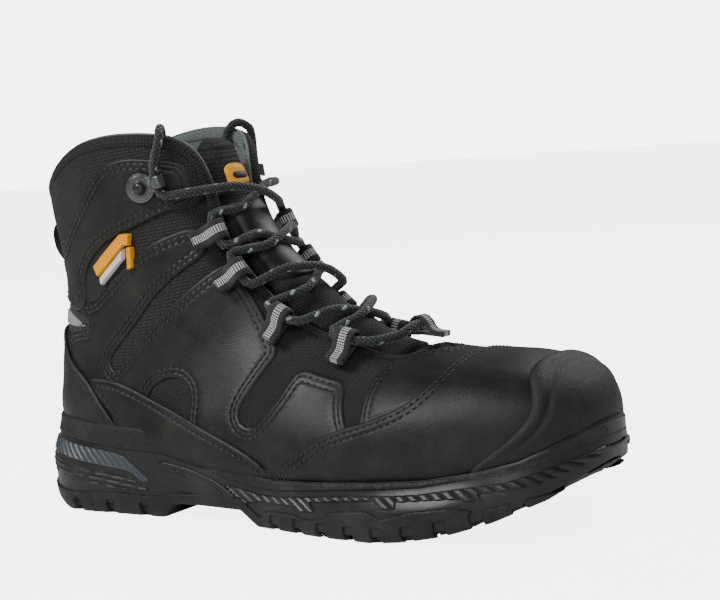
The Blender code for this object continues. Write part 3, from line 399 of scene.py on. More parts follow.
def skin_piece(name, grid, field, finish, low=0.05, high=LEATHER, seams=SEAM_ROWS, depth=0.3, swell=0.25,
               shape=None, radius=EDGE_RADIUS, extra=()):
    """A piece cut from the last's surface: rounded edge, stitched troughs, and a flat back."""
    edge = [level * radius / EDGE_RADIUS for level in EDGE_LEVELS]
    levels = sorted({*edge, *seam_levels(seams), *extra})
    rows, triangles = cut_out(grid, field, levels)
    inside = rows[:, FIELD]
    height = edge_height(inside, low, high, radius) + pulled_in(inside, seams, depth)
    height += hide_swell(rows[:, P], swell, 0.035) * np.clip(inside / 6, 0, 1)
    if shape is not None:
        height += shape(rows) * np.clip(inside / radius, 0, 1)
    outer = rows[:, P] + rows[:, N] * height[:, None]
    inner = rows[:, P] + rows[:, N] * low
    points = np.vstack([outer, inner])
    faces = np.vstack([triangles, triangles[:, ::-1] + len(rows)])
    obj = make_object(name, points, faces, finish, np.vstack([rows[:, UV], rows[:, UV]]))
    return obj, rows, triangles, height


def contour(rows, triangles, level):
    """The lines along which a cut grid has one level, as lists of row numbers."""
    on = np.abs(rows[:, FIELD] - level) < 1e-6
    edges = set()
    for a, b in ((0, 1), (1, 2), (2, 0)):
        pair = triangles[:, [a, b]]
        pair = pair[on[pair].all(1)]
        edges |= {(min(i, j), max(i, j)) for i, j in pair.tolist()}
    links = {}
    for i, j in edges:
        links.setdefault(i, []).append(j)
        links.setdefault(j, []).append(i)
    lines, seen = [], set()
    starts = sorted(links, key=lambda i: (len(links[i]) == 2, i))
    for start in starts:
        if start in seen:
            continue
        line = [start]
        seen.add(start)
        while True:
            onward = [k for k in links[line[-1]] if k not in seen]
            if not onward:
                break
            line.append(onward[0])
            seen.add(onward[0])
        if len(line) > 2 and line[0] in links[line[-1]] and len(links[line[0]]) == 2:
            line.append(line[0])
        lines.append(line)
    return [line for line in lines if len(line) > 3]


def along_line(points, normals, pitch):
    """Evenly spaced places along a line: point, direction, normal."""
    lengths = run_along(points)
    count = int(lengths[-1] / pitch)
    if count < 2:
        return np.zeros((0, 3)), np.zeros((0, 3)), np.zeros((0, 3))
    at = (np.arange(count) + 0.5) * lengths[-1] / count
    place_at, normal = values_at(at, lengths, points), values_at(at, lengths, normals)
    ahead = values_at(at + pitch * 0.4, lengths, points)
    direction = ahead - values_at(at - pitch * 0.4, lengths, points)
    direction /= np.linalg.norm(direction, axis=1, keepdims=True) + 1e-9
    normal -= direction * np.sum(normal * direction, 1, keepdims=True)
    return place_at, direction, normal / (np.linalg.norm(normal, axis=1, keepdims=True) + 1e-9)


STITCH_LENGTH, STITCH_WIDTH, STITCH_PITCH = 2.7, 0.85, 3.5
STITCH_SIDES = 5


def stitch_shape():
    """One stitch: a short round thread that dips into the leather at both ends."""
    rings = [(-0.5, 0.25, -0.35), (-0.32, 0.85, 0.05), (0.0, 1.0, 0.3), (0.32, 0.85, 0.05),
             (0.5, 0.25, -0.35)]
    points = []
    for u, size, lift in rings:
        for k in range(STITCH_SIDES):
            t = 2 * math.pi * k / STITCH_SIDES
            points.append((u * STITCH_LENGTH, math.cos(t) * STITCH_WIDTH / 2 * size,
                           lift * STITCH_WIDTH + math.sin(t) * STITCH_WIDTH / 2 * size))
    return np.array(points), ring_faces(len(rings), STITCH_SIDES)


def sew(name, lines, finish, lift=0.1):
    """Stitches along lines, each given as points and normals."""
    shape, faces = stitch_shape()
    points, all_faces = [], []
    for line, normals in lines:
        for at, direction, normal in zip(*along_line(line, normals, STITCH_PITCH)):
            axes = np.stack([direction, np.cross(normal, direction), normal])
            first = len(points) * len(shape)
            points.append(at + normal * lift + shape @ axes)
            all_faces += [tuple(first + k for k in f) for f in faces]
    if not points:
        return None
    obj = make_object(name, np.vstack(points), all_faces, finish, merge=0)
    return finish_piece(obj, [])


def wanted_runs(wanted, shortest):
    """The stretches of a line that are wanted and have enough points, as lists of their places."""
    cuts = np.where(np.diff(wanted.astype(int)) != 0)[0] + 1
    return [run for run in np.split(np.arange(len(wanted)), cuts)
            if len(run) >= shortest and wanted[run[0]]]


def seam_lines(rows, triangles, height, seams, keep):
    """The stitch lines of a piece, where keep says that it's sewn."""
    lines = []
    for level in seams:
        for line in contour(rows, triangles, level):
            line = np.array(line)
            points = rows[line][:, P] + rows[line][:, N] * height[line, None]
            for run in wanted_runs(keep(rows[line]), 4):
                lines.append((points[run], rows[line[run]][:, N]))
    return lines


def height_of(line, x):
    """The height of a side-view line at x."""
    xs, zs = zip(*line)
    return np.interp(x, xs, zs)


def over_foxing(rows):
    """Only above the sole's edge, where a stitch shows."""
    return rows[:, 2] > height_of(FOXING_TOP, rows[:, 0]) + 1.0


# --- finishes -------------------------------------------------------------------------------------


def join(tree, socket, value):
    """Links a socket to an output, or sets its value."""
    if isinstance(value, bpy.types.NodeSocket):
        tree.links.new(value, socket)
    elif value is not None:
        socket.default_value = value


def calc(tree, operation, a, b=None, c=None):
    """A Math node's output."""
    node = tree.nodes.new("ShaderNodeMath")
    node.operation = operation
    for socket, value in zip(node.inputs, (a, b, c)):
        join(tree, socket, value)
    return node.outputs[0]


def texture(tree, kind, vector, scale, output=0, **settings):
    """A noise, Voronoi or wave texture's output."""
    node = tree.nodes.new(kind)
    join(tree, node.inputs["Vector"], vector)
    join(tree, node.inputs["Scale"], scale)
    for key, value in settings.items():
        if key in node.inputs:
            node.inputs[key].default_value = value
        else:
            setattr(node, key, value)
    return node.outputs[output]


def noise_of(tree, vector, scale, detail=3.0, rough=0.55):
    """A noise texture's value."""
    return texture(tree, "ShaderNodeTexNoise", vector, scale, Detail=detail, Roughness=rough)


def spread(tree, value, low, high, to_low=0.0, to_high=1.0):
    """A value carried from one range to another and held there."""
    node = tree.nodes.new("ShaderNodeMapRange")
    for socket, number in zip(node.inputs, (value, low, high, to_low, to_high)):
        join(tree, socket, number)
    return node.outputs[0]


def blend_colour(tree, share, first, second):
    """Two colours mixed by a share of the second."""
    node = tree.nodes.new("ShaderNodeMix")
    node.data_type = "RGBA"
    join(tree, node.inputs["Factor"], share)
    for socket, colour in zip((node.inputs[6], node.inputs[7]), (first, second)):
        join(tree, socket, (*colour, 1.0) if isinstance(colour, tuple) else colour)
    return node.outputs[2]


def new_group(name, inputs, outputs):
    """An empty shader group with named inputs and outputs: (group, its input node, its output node)."""
    group = bpy.data.node_groups.new(name, "ShaderNodeTree")
    for label, value in inputs:
        kind = "NodeSocketVector" if value is None else "NodeSocketFloat"
        socket = group.interface.new_socket(label, in_out="INPUT", socket_type=kind)
        if value is not None:
            socket.default_value = value
    for label in outputs:
        group.interface.new_socket(label, in_out="OUTPUT", socket_type="NodeSocketFloat")
    return group, group.nodes.new("NodeGroupInput"), group.nodes.new("NodeGroupOutput")


def hide_grain_group():
    """Pebbled grain, creases and the soft light and dark of an oiled hide."""
    g, given, out = new_group("Hide grain", [("Vector", None), ("Grain per metre", 1300.0)],
                              ["Height", "Shade", "Pull-up"])
    vector, size = given.outputs[0], given.outputs[1]
    pebbles = texture(g, "ShaderNodeTexVoronoi", vector, size, feature="SMOOTH_F1", Smoothness=0.6)
    fine = noise_of(g, vector, calc(g, "MULTIPLY", size, 1.7), 2.0)
    creases = noise_of(g, vector, calc(g, "MULTIPLY", size, 0.09), 4.0, 0.62)
    grain = calc(g, "MULTIPLY_ADD", pebbles, 0.6, calc(g, "MULTIPLY", fine, 0.5))
    join(g, out.inputs[0], calc(g, "MULTIPLY_ADD", creases, 1.4, grain))
    join(g, out.inputs[1], noise_of(g, vector, calc(g, "MULTIPLY", size, 0.03), 5.0, 0.6))
    scuffs = noise_of(g, vector, calc(g, "MULTIPLY", size, 0.055), 6.0, 0.7)
    join(g, out.inputs[2], spread(g, scuffs, 0.52, 0.78))
    return g


def worn_edge_group():
    """How rubbed a place is, from its distance to the piece's cut edge in millimetres."""
    g, given, out = new_group("Worn edge", [("Vector", None), ("Edge", 5.0), ("Reach", 1.6)], ["Rubbed"])
    near = calc(g, "SUBTRACT", 1.0, calc(g, "DIVIDE", given.outputs[1], given.outputs[2]))
    patchy = spread(g, noise_of(g, given.outputs[0], 90.0, 4.0), 0.35, 0.7)
    join(g, out.inputs[0], calc(g, "MULTIPLY", calc(g, "MAXIMUM", near, 0.0), patchy))
    return g


def square_weave_group():
    """A plain basket weave of thick threads on cloth coordinates."""
    g, given, out = new_group("Basket weave", [("Vector", None), ("Thread", 0.0013)],
                              ["Height", "Warp", "Shade"])
    node = g.nodes.new("ShaderNodeSeparateXYZ")
    join(g, node.inputs[0], given.outputs[0])
    u, v = (calc(g, "DIVIDE", node.outputs[k], given.outputs[1]) for k in (0, 1))
    waves = []
    for a, b, shift in ((u, v, 0.0), (v, u, 1.0)):
        arch = calc(g, "ABSOLUTE", calc(g, "SINE", calc(g, "MULTIPLY", a, math.pi)))
        row = calc(g, "ADD", calc(g, "ADD", b, calc(g, "FLOOR", a)), shift + 0.5)
        over = calc(g, "MULTIPLY_ADD", calc(g, "COSINE", calc(g, "MULTIPLY", row, math.pi)), 0.5, 0.5)
        waves.append(calc(g, "MULTIPLY", calc(g, "POWER", arch, 0.7), over))
    join(g, out.inputs[0], calc(g, "MAXIMUM", *waves))
    join(g, out.inputs[1], calc(g, "GREATER_THAN", *waves))
    join(g, out.inputs[2], noise_of(g, given.outputs[0], 160.0, 4.0, 0.7))
    return g


def spacer_mesh_group():
    """An open knitted mesh: rows of small round holes, every other row set over by half."""
    g, given, out = new_group("Spacer mesh", [("Vector", None), ("Pitch", 0.0022)], ["Height", "Hole"])
    node = g.nodes.new("ShaderNodeSeparateXYZ")
    join(g, node.inputs[0], given.outputs[0])
    v = calc(g, "DIVIDE", node.outputs[1], calc(g, "MULTIPLY", given.outputs[1], 0.8))
    odd = calc(g, "MULTIPLY", calc(g, "MODULO", calc(g, "ABSOLUTE", calc(g, "FLOOR", v)), 2.0), 0.5)
    u = calc(g, "ADD", calc(g, "DIVIDE", node.outputs[0], given.outputs[1]), odd)
    reach = [calc(g, "SUBTRACT", calc(g, "FRACT", k), 0.5) for k in (u, v)]
    away = calc(g, "SQRT", calc(g, "ADD", calc(g, "POWER", reach[0], 2.0), calc(g, "POWER", reach[1], 2.0)))
    hole = spread(g, away, 0.3, 0.2)
    join(g, out.inputs[0], calc(g, "SUBTRACT", noise_of(g, given.outputs[0], 2500.0, 2.0), hole))
    join(g, out.inputs[1], hole)
    return g


def moulded_group():
    """Moulded rubber or foam: a fine stipple, a coarse one, and patches rubbed smooth."""
    g, given, out = new_group("Moulded skin", [("Vector", None), ("Stipple per metre", 1500.0)],
                              ["Height", "Shade"])
    vector, size = given.outputs[0], given.outputs[1]
    stipple = texture(g, "ShaderNodeTexVoronoi", vector, size, feature="F1")
    coarse = noise_of(g, vector, calc(g, "MULTIPLY", size, 0.35), 3.0)
    join(g, out.inputs[0], calc(g, "MULTIPLY_ADD", stipple, 0.8, coarse))
    join(g, out.inputs[1], noise_of(g, vector, calc(g, "MULTIPLY", size, 0.035), 5.0, 0.65))
    return g


def dust_group():
    """Fine pale dust that settles in patches."""
    g, given, out = new_group("Settled dust", [("Vector", None), ("Amount", 0.3)], ["Dust"])
    patches = spread(g, noise_of(g, given.outputs[0], 40.0, 5.0, 0.7), 0.48, 0.72)
    grit = spread(g, noise_of(g, given.outputs[0], 1500.0, 3.0, 0.8), 0.55, 0.75)
    dust = calc(g, "MULTIPLY_ADD", patches, 0.5, calc(g, "MULTIPLY", grit, 0.5))
    join(g, out.inputs[0], calc(g, "MULTIPLY", dust, given.outputs[1]))
    return g


def braid_group():
    """Braided cord on coordinates round and along it, in metres: strands, and the flecked ones."""
    g, given, out = new_group("Braid", [("Vector", None), ("Strand", 0.0011)], ["Height", "Fleck"])
    node = g.nodes.new("ShaderNodeSeparateXYZ")
    join(g, node.inputs[0], given.outputs[0])
    x, y = (calc(g, "DIVIDE", node.outputs[k], given.outputs[1]) for k in (0, 1))
    left, right = calc(g, "ADD", x, y), calc(g, "SUBTRACT", x, y)
    ridges = [calc(g, "ABSOLUTE", calc(g, "SINE", calc(g, "MULTIPLY", k, math.pi / 2)))
              for k in (left, right)]
    join(g, out.inputs[0], calc(g, "MULTIPLY", *ridges))
    strand = [calc(g, "MODULO", calc(g, "ABSOLUTE", calc(g, "FLOOR", calc(g, "DIVIDE", k, 2.0))), 6.0)
              for k in (left, right)]
    flecks = calc(g, "MULTIPLY", calc(g, "LESS_THAN", strand[0], 1.5), calc(g, "LESS_THAN", strand[1], 0.5))
    join(g, out.inputs[1], flecks)
    return g


GRAIN, EDGE_WEAR, WEAVE = hide_grain_group(), worn_edge_group(), square_weave_group()
SPACER, MOULDED, DUST, BRAID = spacer_mesh_group(), moulded_group(), dust_group(), braid_group()


def use(tree, group, **inputs):
    """A group placed in a material, with its inputs linked or set: its outputs."""
    node = tree.nodes.new("ShaderNodeGroup")
    node.node_tree = group
    for label, value in inputs.items():
        join(tree, node.inputs[label.replace("_", " ")], value)
    return node.outputs


SPECULAR = 0.32


def new_finish(name, roughness=0.6, metallic=0.0, coat=0.0, coat_roughness=0.3, sheen=0.0):
    """A material with its Principled shader: (material, tree, shader)."""
    finish = bpy.data.materials.new(name)
    finish.use_nodes = True
    tree = finish.node_tree
    shader = tree.nodes["Principled BSDF"]
    for label, value in (("Roughness", roughness), ("Metallic", metallic), ("Coat Weight", coat),
                         ("Coat Roughness", coat_roughness), ("Sheen Weight", sheen),
                         ("Specular IOR Level", SPECULAR)):
        shader.inputs[label].default_value = value
    return finish, tree, shader


def coordinates(tree, kind="Object"):
    """Object coordinates, or the cloth's own when kind is UV."""
    if kind == "UV":
        node = tree.nodes.new("ShaderNodeUVMap")
        node.uv_map = "cut"
        return node.outputs[0]
    return tree.nodes.new("ShaderNodeTexCoord").outputs[kind]


def attribute(tree, name):
    """A stored value of the mesh."""
    node = tree.nodes.new("ShaderNodeAttribute")
    node.attribute_name = name
    return node.outputs["Fac"]


def raise_surface(tree, shader, height, distance):
    """Bumps a finish by a height, whose full range is a distance in metres."""
    bump = tree.nodes.new("ShaderNodeBump")
    bump.inputs["Distance"].default_value = distance
    bump.inputs["Strength"].default_value = 1.0
    join(tree, bump.inputs["Height"], height)
    join(tree, shader.inputs["Normal"], bump.outputs[0])


def leather_finish(name, dark, light, worn, roughness, grain=1300.0, bump=0.00012, coat=0.04):
    """Oiled leather: pebbled, a little lighter where it is pulled over the last and at rubbed edges."""
    finish, tree, shader = new_finish(name, coat=coat, coat_roughness=0.45)
    where = coordinates(tree)
    hide = use(tree, GRAIN, Vector=where, Grain_per_metre=grain)
    rubbed = use(tree, EDGE_WEAR, Vector=where, Edge=attribute(tree, "edge"))[0]
    dust = use(tree, DUST, Vector=where, Amount=0.1)[0]
    body = blend_colour(tree, spread(tree, hide["Shade"], 0.35, 0.7), dark, light)
    body = blend_colour(tree, calc(tree, "MULTIPLY", hide["Pull-up"], 0.35), body, worn)
    body = blend_colour(tree, calc(tree, "MULTIPLY", rubbed, 0.65), body, worn)
    join(tree, shader.inputs["Base Color"], blend_colour(tree, dust, body, (0.16, 0.15, 0.13)))
    rough = spread(tree, hide["Shade"], 0.3, 0.75, roughness - 0.07, roughness + 0.09)
    join(tree, shader.inputs["Roughness"], calc(tree, "MULTIPLY_ADD", dust, 0.3, rough))
    raise_surface(tree, shader, hide["Height"], bump)
    return finish


def nylon_finish(name, thread, dark, light, roughness=0.62, bump=0.00045):
    """Thick woven nylon on the cloth's own coordinates, with painted shade in the weave's hollows."""
    finish, tree, shader = new_finish(name, sheen=0.03)
    where = coordinates(tree, "UV")
    weave = use(tree, WEAVE, Vector=where, Thread=thread)
    dust = use(tree, DUST, Vector=coordinates(tree), Amount=0.12)[0]
    # Painted shade and highlight: the weave's height sets the colour, dark in its hollows and light on its
    # thread crowns.
    body = blend_colour(tree, spread(tree, weave["Height"], 0.1, 0.9), dark, light)
    body = blend_colour(tree, calc(tree, "MULTIPLY", weave["Shade"], 0.3), body, dark)
    join(tree, shader.inputs["Base Color"], blend_colour(tree, dust, body, (0.14, 0.13, 0.12)))
    join(tree, shader.inputs["Roughness"],
         spread(tree, weave["Warp"], 0.0, 1.0, roughness, roughness + 0.12))
    raise_surface(tree, shader, weave["Height"], bump)
    return finish


def mesh_finish(name, dark, light, pitch=0.0022, sheen=0.1):
    """Knitted spacer mesh whose holes are not cut open but painted dark, as painted shade."""
    finish, tree, shader = new_finish(name, roughness=0.85, sheen=sheen)
    knit = use(tree, SPACER, Vector=coordinates(tree, "UV"), Pitch=pitch)
    dust = use(tree, DUST, Vector=coordinates(tree), Amount=0.1)[0]
    # Painted shade: the holes get the dark colour in place of the shade seen through real holes.
    body = blend_colour(tree, knit["Hole"], light, dark)
    join(tree, shader.inputs["Base Color"], blend_colour(tree, dust, body, (0.2, 0.2, 0.19)))
    raise_surface(tree, shader, knit["Height"], 0.0005)
    return finish


def moulded_finish(name, dark, light, roughness, stipple=1500.0, bump=0.00008, coat=0.0, dusty=0.2,
                   worn=None):
    """Rubber, foam or plastic out of a mould, with dust in its skin."""
    finish, tree, shader = new_finish(name, coat=coat)
    where = coordinates(tree)
    skin = use(tree, MOULDED, Vector=where, Stipple_per_metre=stipple)
    dust = use(tree, DUST, Vector=where, Amount=dusty)[0]
    body = blend_colour(tree, spread(tree, skin["Shade"], 0.35, 0.7), dark, light)
    if worn:
        rubbed = use(tree, EDGE_WEAR, Vector=where, Edge=attribute(tree, "edge"), Reach=1.2)[0]
        body = blend_colour(tree, calc(tree, "MULTIPLY", rubbed, 0.5), body, worn)
    join(tree, shader.inputs["Base Color"], blend_colour(tree, dust, body, (0.2, 0.19, 0.17)))
    rough = spread(tree, skin["Shade"], 0.3, 0.75, roughness - 0.08, roughness + 0.08)
    join(tree, shader.inputs["Roughness"], calc(tree, "MULTIPLY_ADD", dust, 0.3, rough))
    raise_surface(tree, shader, skin["Height"], bump)
    return finish


def thread_finish(name, colour, shade, roughness=0.55):
    """Twisted sewing thread or webbing: fine slanting strands, with painted shade in the grooves between
    them.
    """
    finish, tree, shader = new_finish(name, roughness=roughness, sheen=0.2)
    twist = texture(tree, "ShaderNodeTexWave", coordinates(tree), 900.0, output=1,
                    bands_direction="DIAGONAL", Distortion=1.5)
    # Painted shade: the twist bands set the colour, with the shade colour in the grooves between strands.
    join(tree, shader.inputs["Base Color"], blend_colour(tree, twist, shade, colour))
    raise_surface(tree, shader, twist, 0.00012)
    return finish


def webbing_finish(name, dark, light, stripe=None, thread=0.0009):
    """Woven tape on its own coordinates, with a stripe of glass-beaded blocks along its middle."""
    finish, tree, shader = new_finish(name, roughness=0.72, sheen=0.15)
    where = coordinates(tree, "UV")
    weave = use(tree, WEAVE, Vector=where, Thread=thread)
    # Painted shade and highlight: the weave's height sets the colour, dark in its hollows and light on its
    # thread crowns.
    body = blend_colour(tree, spread(tree, weave["Height"], 0.1, 0.9), dark, light)
    if stripe:
        parts = tree.nodes.new("ShaderNodeSeparateXYZ")
        join(tree, parts.inputs[0], where)
        across = calc(tree, "LESS_THAN", calc(tree, "ABSOLUTE", parts.outputs[0]), 0.0019)
        row = calc(tree, "FRACT", calc(tree, "DIVIDE", parts.outputs[1], 0.0012))
        block = calc(tree, "FRACT", calc(tree, "DIVIDE", parts.outputs[0], 0.00095))
        broken = calc(tree, "MULTIPLY", calc(tree, "LESS_THAN", row, 0.62),
                      calc(tree, "LESS_THAN", block, 0.8))
        silver = calc(tree, "MULTIPLY", across, broken)
        body = blend_colour(tree, silver, body, stripe)
        join(tree, shader.inputs["Roughness"], spread(tree, silver, 0.0, 1.0, 0.72, 0.38))
    join(tree, shader.inputs["Base Color"], body)
    raise_surface(tree, shader, weave["Height"], 0.0003)
    return finish


def braid_finish(name, dark, light, fleck):
    """A braided cord with pale flecks, and painted shade in the grooves between its strands."""
    finish, tree, shader = new_finish(name, roughness=0.6, sheen=0.25)
    braid = use(tree, BRAID, Vector=coordinates(tree, "UV"))
    # Painted shade and highlight: the braid's height sets the colour, dark between the strands and light on
    # their crowns.
    body = blend_colour(tree, spread(tree, braid["Height"], 0.1, 0.8), dark, light)
    fuzz = spread(tree, noise_of(tree, coordinates(tree), 2200.0, 2.0), 0.3, 0.7, 0.55, 1.0)
    flecked = calc(tree, "MULTIPLY", braid["Fleck"], fuzz)
    join(tree, shader.inputs["Base Color"], blend_colour(tree, flecked, body, fleck))
    raise_surface(tree, shader, braid["Height"], 0.0004)
    return finish


def metal_finish(name, dark, light, roughness):
    """Black-nickel or bare steel with fine scratches and chips along the handled places."""
    finish, tree, shader = new_finish(name, metallic=0.9)
    where = coordinates(tree)
    scratches = noise_of(tree, where, 700.0, 6.0, 0.8)
    chips = spread(tree, noise_of(tree, where, 260.0, 5.0, 0.7), 0.6, 0.72)
    join(tree, shader.inputs["Base Color"], blend_colour(tree, chips, dark, light))
    join(tree, shader.inputs["Roughness"],
         spread(tree, scratches, 0.3, 0.7, roughness - 0.1, roughness + 0.15))
    raise_surface(tree, shader, scratches, 0.00002)
    return finish


OILED = leather_finish("oiled leather", (0.005, 0.0052, 0.0046), (0.0105, 0.011, 0.0094),
                       (0.036, 0.038, 0.032), 0.5)
OILED_SMOOTH = leather_finish("smooth oiled leather", (0.005, 0.0052, 0.0046), (0.011, 0.0115, 0.0098),
                              (0.036, 0.038, 0.032), 0.46, grain=1700.0, bump=0.00008)
PIPED = leather_finish("folded leather binding", (0.007, 0.007, 0.007), (0.012, 0.012, 0.011),
                       (0.04, 0.038, 0.034), 0.5, coat=0.1)
# The darker colour of each nylon is painted shade in the weave's hollows and also its own random tone; the
# lighter one is a painted highlight on the thread crowns.
NYLON_CLOTH = nylon_finish("ballistic nylon", 0.0016, (0.002, 0.002, 0.002), (0.013, 0.0132, 0.0135))
TONGUE_CLOTH = nylon_finish("tongue nylon", 0.0014, (0.002, 0.002, 0.002), (0.013, 0.0132, 0.0135))
# The darker colour of each mesh is painted shade in its holes.
BLACK_MESH = mesh_finish("black spacer mesh", (0.002, 0.002, 0.002), (0.013, 0.0135, 0.014))
LINING_MESH = mesh_finish("grey green lining mesh", (0.028, 0.036, 0.034), (0.095, 0.118, 0.112),
                          pitch=0.0019, sheen=0.3)
# The second colour of each thread is painted shade in the grooves between its strands.
COLLAR_PIPING = thread_finish("pale teal collar piping", (0.17, 0.215, 0.205), (0.08, 0.11, 0.105))
THREAD = thread_finish("black thread", (0.009, 0.009, 0.009), (0.003, 0.003, 0.003), 0.6)
# The darker colour of each webbing and of the beaded tape is painted shade in the weave's hollows, and the
# lighter one a painted highlight on its crowns.
LOOP_WEBBING = webbing_finish("loop webbing", (0.005, 0.005, 0.005), (0.024, 0.024, 0.024),
                              (0.52, 0.53, 0.53))
PLAIN_WEBBING = webbing_finish("plain webbing", (0.005, 0.005, 0.005), (0.026, 0.026, 0.026))
BEADED_TAPE = webbing_finish("beaded tape", (0.12, 0.12, 0.12), (0.36, 0.365, 0.365), (0.62, 0.63, 0.63))
# The lace's darker colour is painted shade between its strands and the lighter one a painted highlight on
# them; the flecks are its own colour.
LACE_CORD = braid_finish("braided lace", (0.004, 0.005, 0.005), (0.021, 0.024, 0.025), (0.33, 0.42, 0.40))
BUMPER_RUBBER = moulded_finish("bumper rubber", (0.0085, 0.0085, 0.0085), (0.0165, 0.0165, 0.016), 0.52,
                               stipple=2300.0, bump=0.00022, dusty=0.1, worn=(0.035, 0.034, 0.032))
SOLE_RUBBER = moulded_finish("sole rubber", (0.0085, 0.0085, 0.009), (0.016, 0.016, 0.0165), 0.5,
                             stipple=1300.0, bump=0.0002, dusty=0.22)
SOLE_FOAM = moulded_finish("sole foam", (0.0095, 0.0095, 0.0095), (0.0175, 0.0172, 0.0168), 0.58,
                           stipple=700.0, bump=0.00045, dusty=0.2)
SMOOTH_FOAM = moulded_finish("smooth sole foam", (0.009, 0.009, 0.0093), (0.0155, 0.0155, 0.0158), 0.42,
                             stipple=1800.0, bump=0.00005, coat=0.1, dusty=0.12)
STABILISER = moulded_finish("stabiliser plastic", (0.028, 0.036, 0.043), (0.046, 0.056, 0.064), 0.36,
                            stipple=2200.0, bump=0.00003, coat=0.15, dusty=0.12)
YELLOW = moulded_finish("yellow badge rubber", (0.78, 0.31, 0.002), (0.95, 0.41, 0.003), 0.5,
                        bump=0.00004, dusty=0.12)
PALE_GREY = moulded_finish("pale grey badge rubber", (0.6, 0.6, 0.58), (0.78, 0.78, 0.76), 0.5,
                           bump=0.00004, dusty=0.15)
BADGE_BLACK = moulded_finish("black badge rubber", (0.011, 0.011, 0.011), (0.018, 0.018, 0.018), 0.5,
                             dusty=0.12)
BLACK_NICKEL = metal_finish("black nickel", (0.13, 0.135, 0.14), (0.3, 0.3, 0.3), 0.3)
BARE_STEEL = metal_finish("bare steel", (0.32, 0.32, 0.33), (0.5, 0.5, 0.5), 0.36)
TIP_PLASTIC = moulded_finish("lace tip plastic", (0.012, 0.012, 0.012), (0.02, 0.02, 0.02), 0.3, coat=0.3,
                             bump=0.00003, dusty=0.05)
# The darker colour of this mesh is painted shade in its holes.
FOOTBED_CLOTH = mesh_finish("footbed cloth", (0.012, 0.012, 0.013), (0.045, 0.047, 0.05), pitch=0.0024)
PAD_FOAM = moulded_finish("pad foam", (0.05, 0.05, 0.05), (0.09, 0.09, 0.088), 0.9, stipple=600.0,
                          bump=0.0004)
BOARD = moulded_finish("insole board", (0.24, 0.19, 0.13), (0.36, 0.3, 0.22), 0.85, bump=0.0001)


FAR_FROM_EDGE = 6.0


def edge_attribute(obj, rows=None):
    """Stores each vertex's distance to the piece's cut edge, in millimetres, for the wear.

    It's found again from the rows, because doubles were merged. Without rows nothing is near an edge.
    """
    if rows is None:
        values = np.full(len(obj.data.vertices), FAR_FROM_EDGE)
    else:
        co = np.empty(len(obj.data.vertices) * 3, np.float32)
        obj.data.vertices.foreach_get("co", co)
        tree = KDTree(len(rows))
        for index, row in enumerate(rows):
            tree.insert(row[P], index)
        tree.balance()
        at = (co.reshape(-1, 3) / MM + ORIGIN).tolist()
        values = [rows[tree.find(point)[1], FIELD] for point in at]
    layer = obj.data.attributes.new("edge", "FLOAT", "POINT")
    layer.data.foreach_set("value", np.asarray(values, np.float32))


# --- sweeps: rolls, pipings, straps and cords -----------------------------------------------------


def directions(points):
    """Unit directions along a line of points."""
    along = np.vstack([points[1:], points[-1:]]) - np.vstack([points[:1], points[:-1]])
    return along / (np.linalg.norm(along, axis=1, keepdims=True) + 1e-9)


def sweep(points, normals, section):
    """A closed section (side, up) carried along a line: vertices, faces, and cloth coordinates.

    section is one outline for every point or one that all share; side lies across the line and up
    along the normals.
    """
    points, normals = np.asarray(points, float), np.asarray(normals, float)
    along = directions(points)
    side = np.cross(along, normals)
    side /= np.linalg.norm(side, axis=1, keepdims=True) + 1e-9
    up = np.cross(side, along)
    section = np.asarray(section, float)
    if section.ndim == 2:
        section = np.repeat(section[None], len(points), 0)
    rings = points[:, None] + side[:, None] * section[..., :1] + up[:, None] * section[..., 1:2]
    n, m = section.shape[:2]
    run = run_along(points)
    edge = np.linalg.norm(np.diff(section, axis=1, prepend=section[:, :1]), axis=-1)
    round_it = np.cumsum(edge, 1)
    uv = np.stack([round_it - round_it[:, -1:] / 2, np.repeat(run[:, None], m, 1)], -1)
    return rings.reshape(-1, 3), ring_faces(n, m), uv.reshape(-1, 2)


def round_section(radius, sides):
    """A round outline for a sweep."""
    turn = np.arange(sides) / sides * 2 * math.pi
    return np.stack([np.cos(turn) * radius, np.sin(turn) * radius], 1)


PIPING_SIDES, PIPING_TAPER, PIPING_TIP = 10, 3, 0.25


def piping(name, line, radius, finish):
    """A rolled cord sewn along a line of points and normals, thinner at its two ends."""
    points, normals = line
    size = np.ones(len(points))
    size[:PIPING_TAPER] = np.linspace(PIPING_TIP, 1, PIPING_TAPER, endpoint=False)
    size[-PIPING_TAPER:] = np.linspace(1, PIPING_TIP, PIPING_TAPER)
    section = round_section(radius, PIPING_SIDES)[None] * size[:, None, None]
    vertices, faces, uv = sweep(points, normals, section)
    return finish_piece(make_object(name, vertices, faces, finish, uv), [])


def smooth_line(points):
    """A line with its small jogs taken out, its ends where they were."""
    for _ in range(3):
        inner = (points[:-2] + points[1:-1] * 2 + points[2:]) / 4
        points = np.vstack([points[:1], inner, points[-1:]])
    return points


def even_line(points, normals, step):
    """The same line with its points evenly spaced."""
    run = run_along(points)
    at = np.linspace(0, run[-1], max(4, int(run[-1] / step)))
    return smooth_line(values_at(at, run, points)), values_at(at, run, normals)


# --- the upper ------------------------------------------------------------------------------------

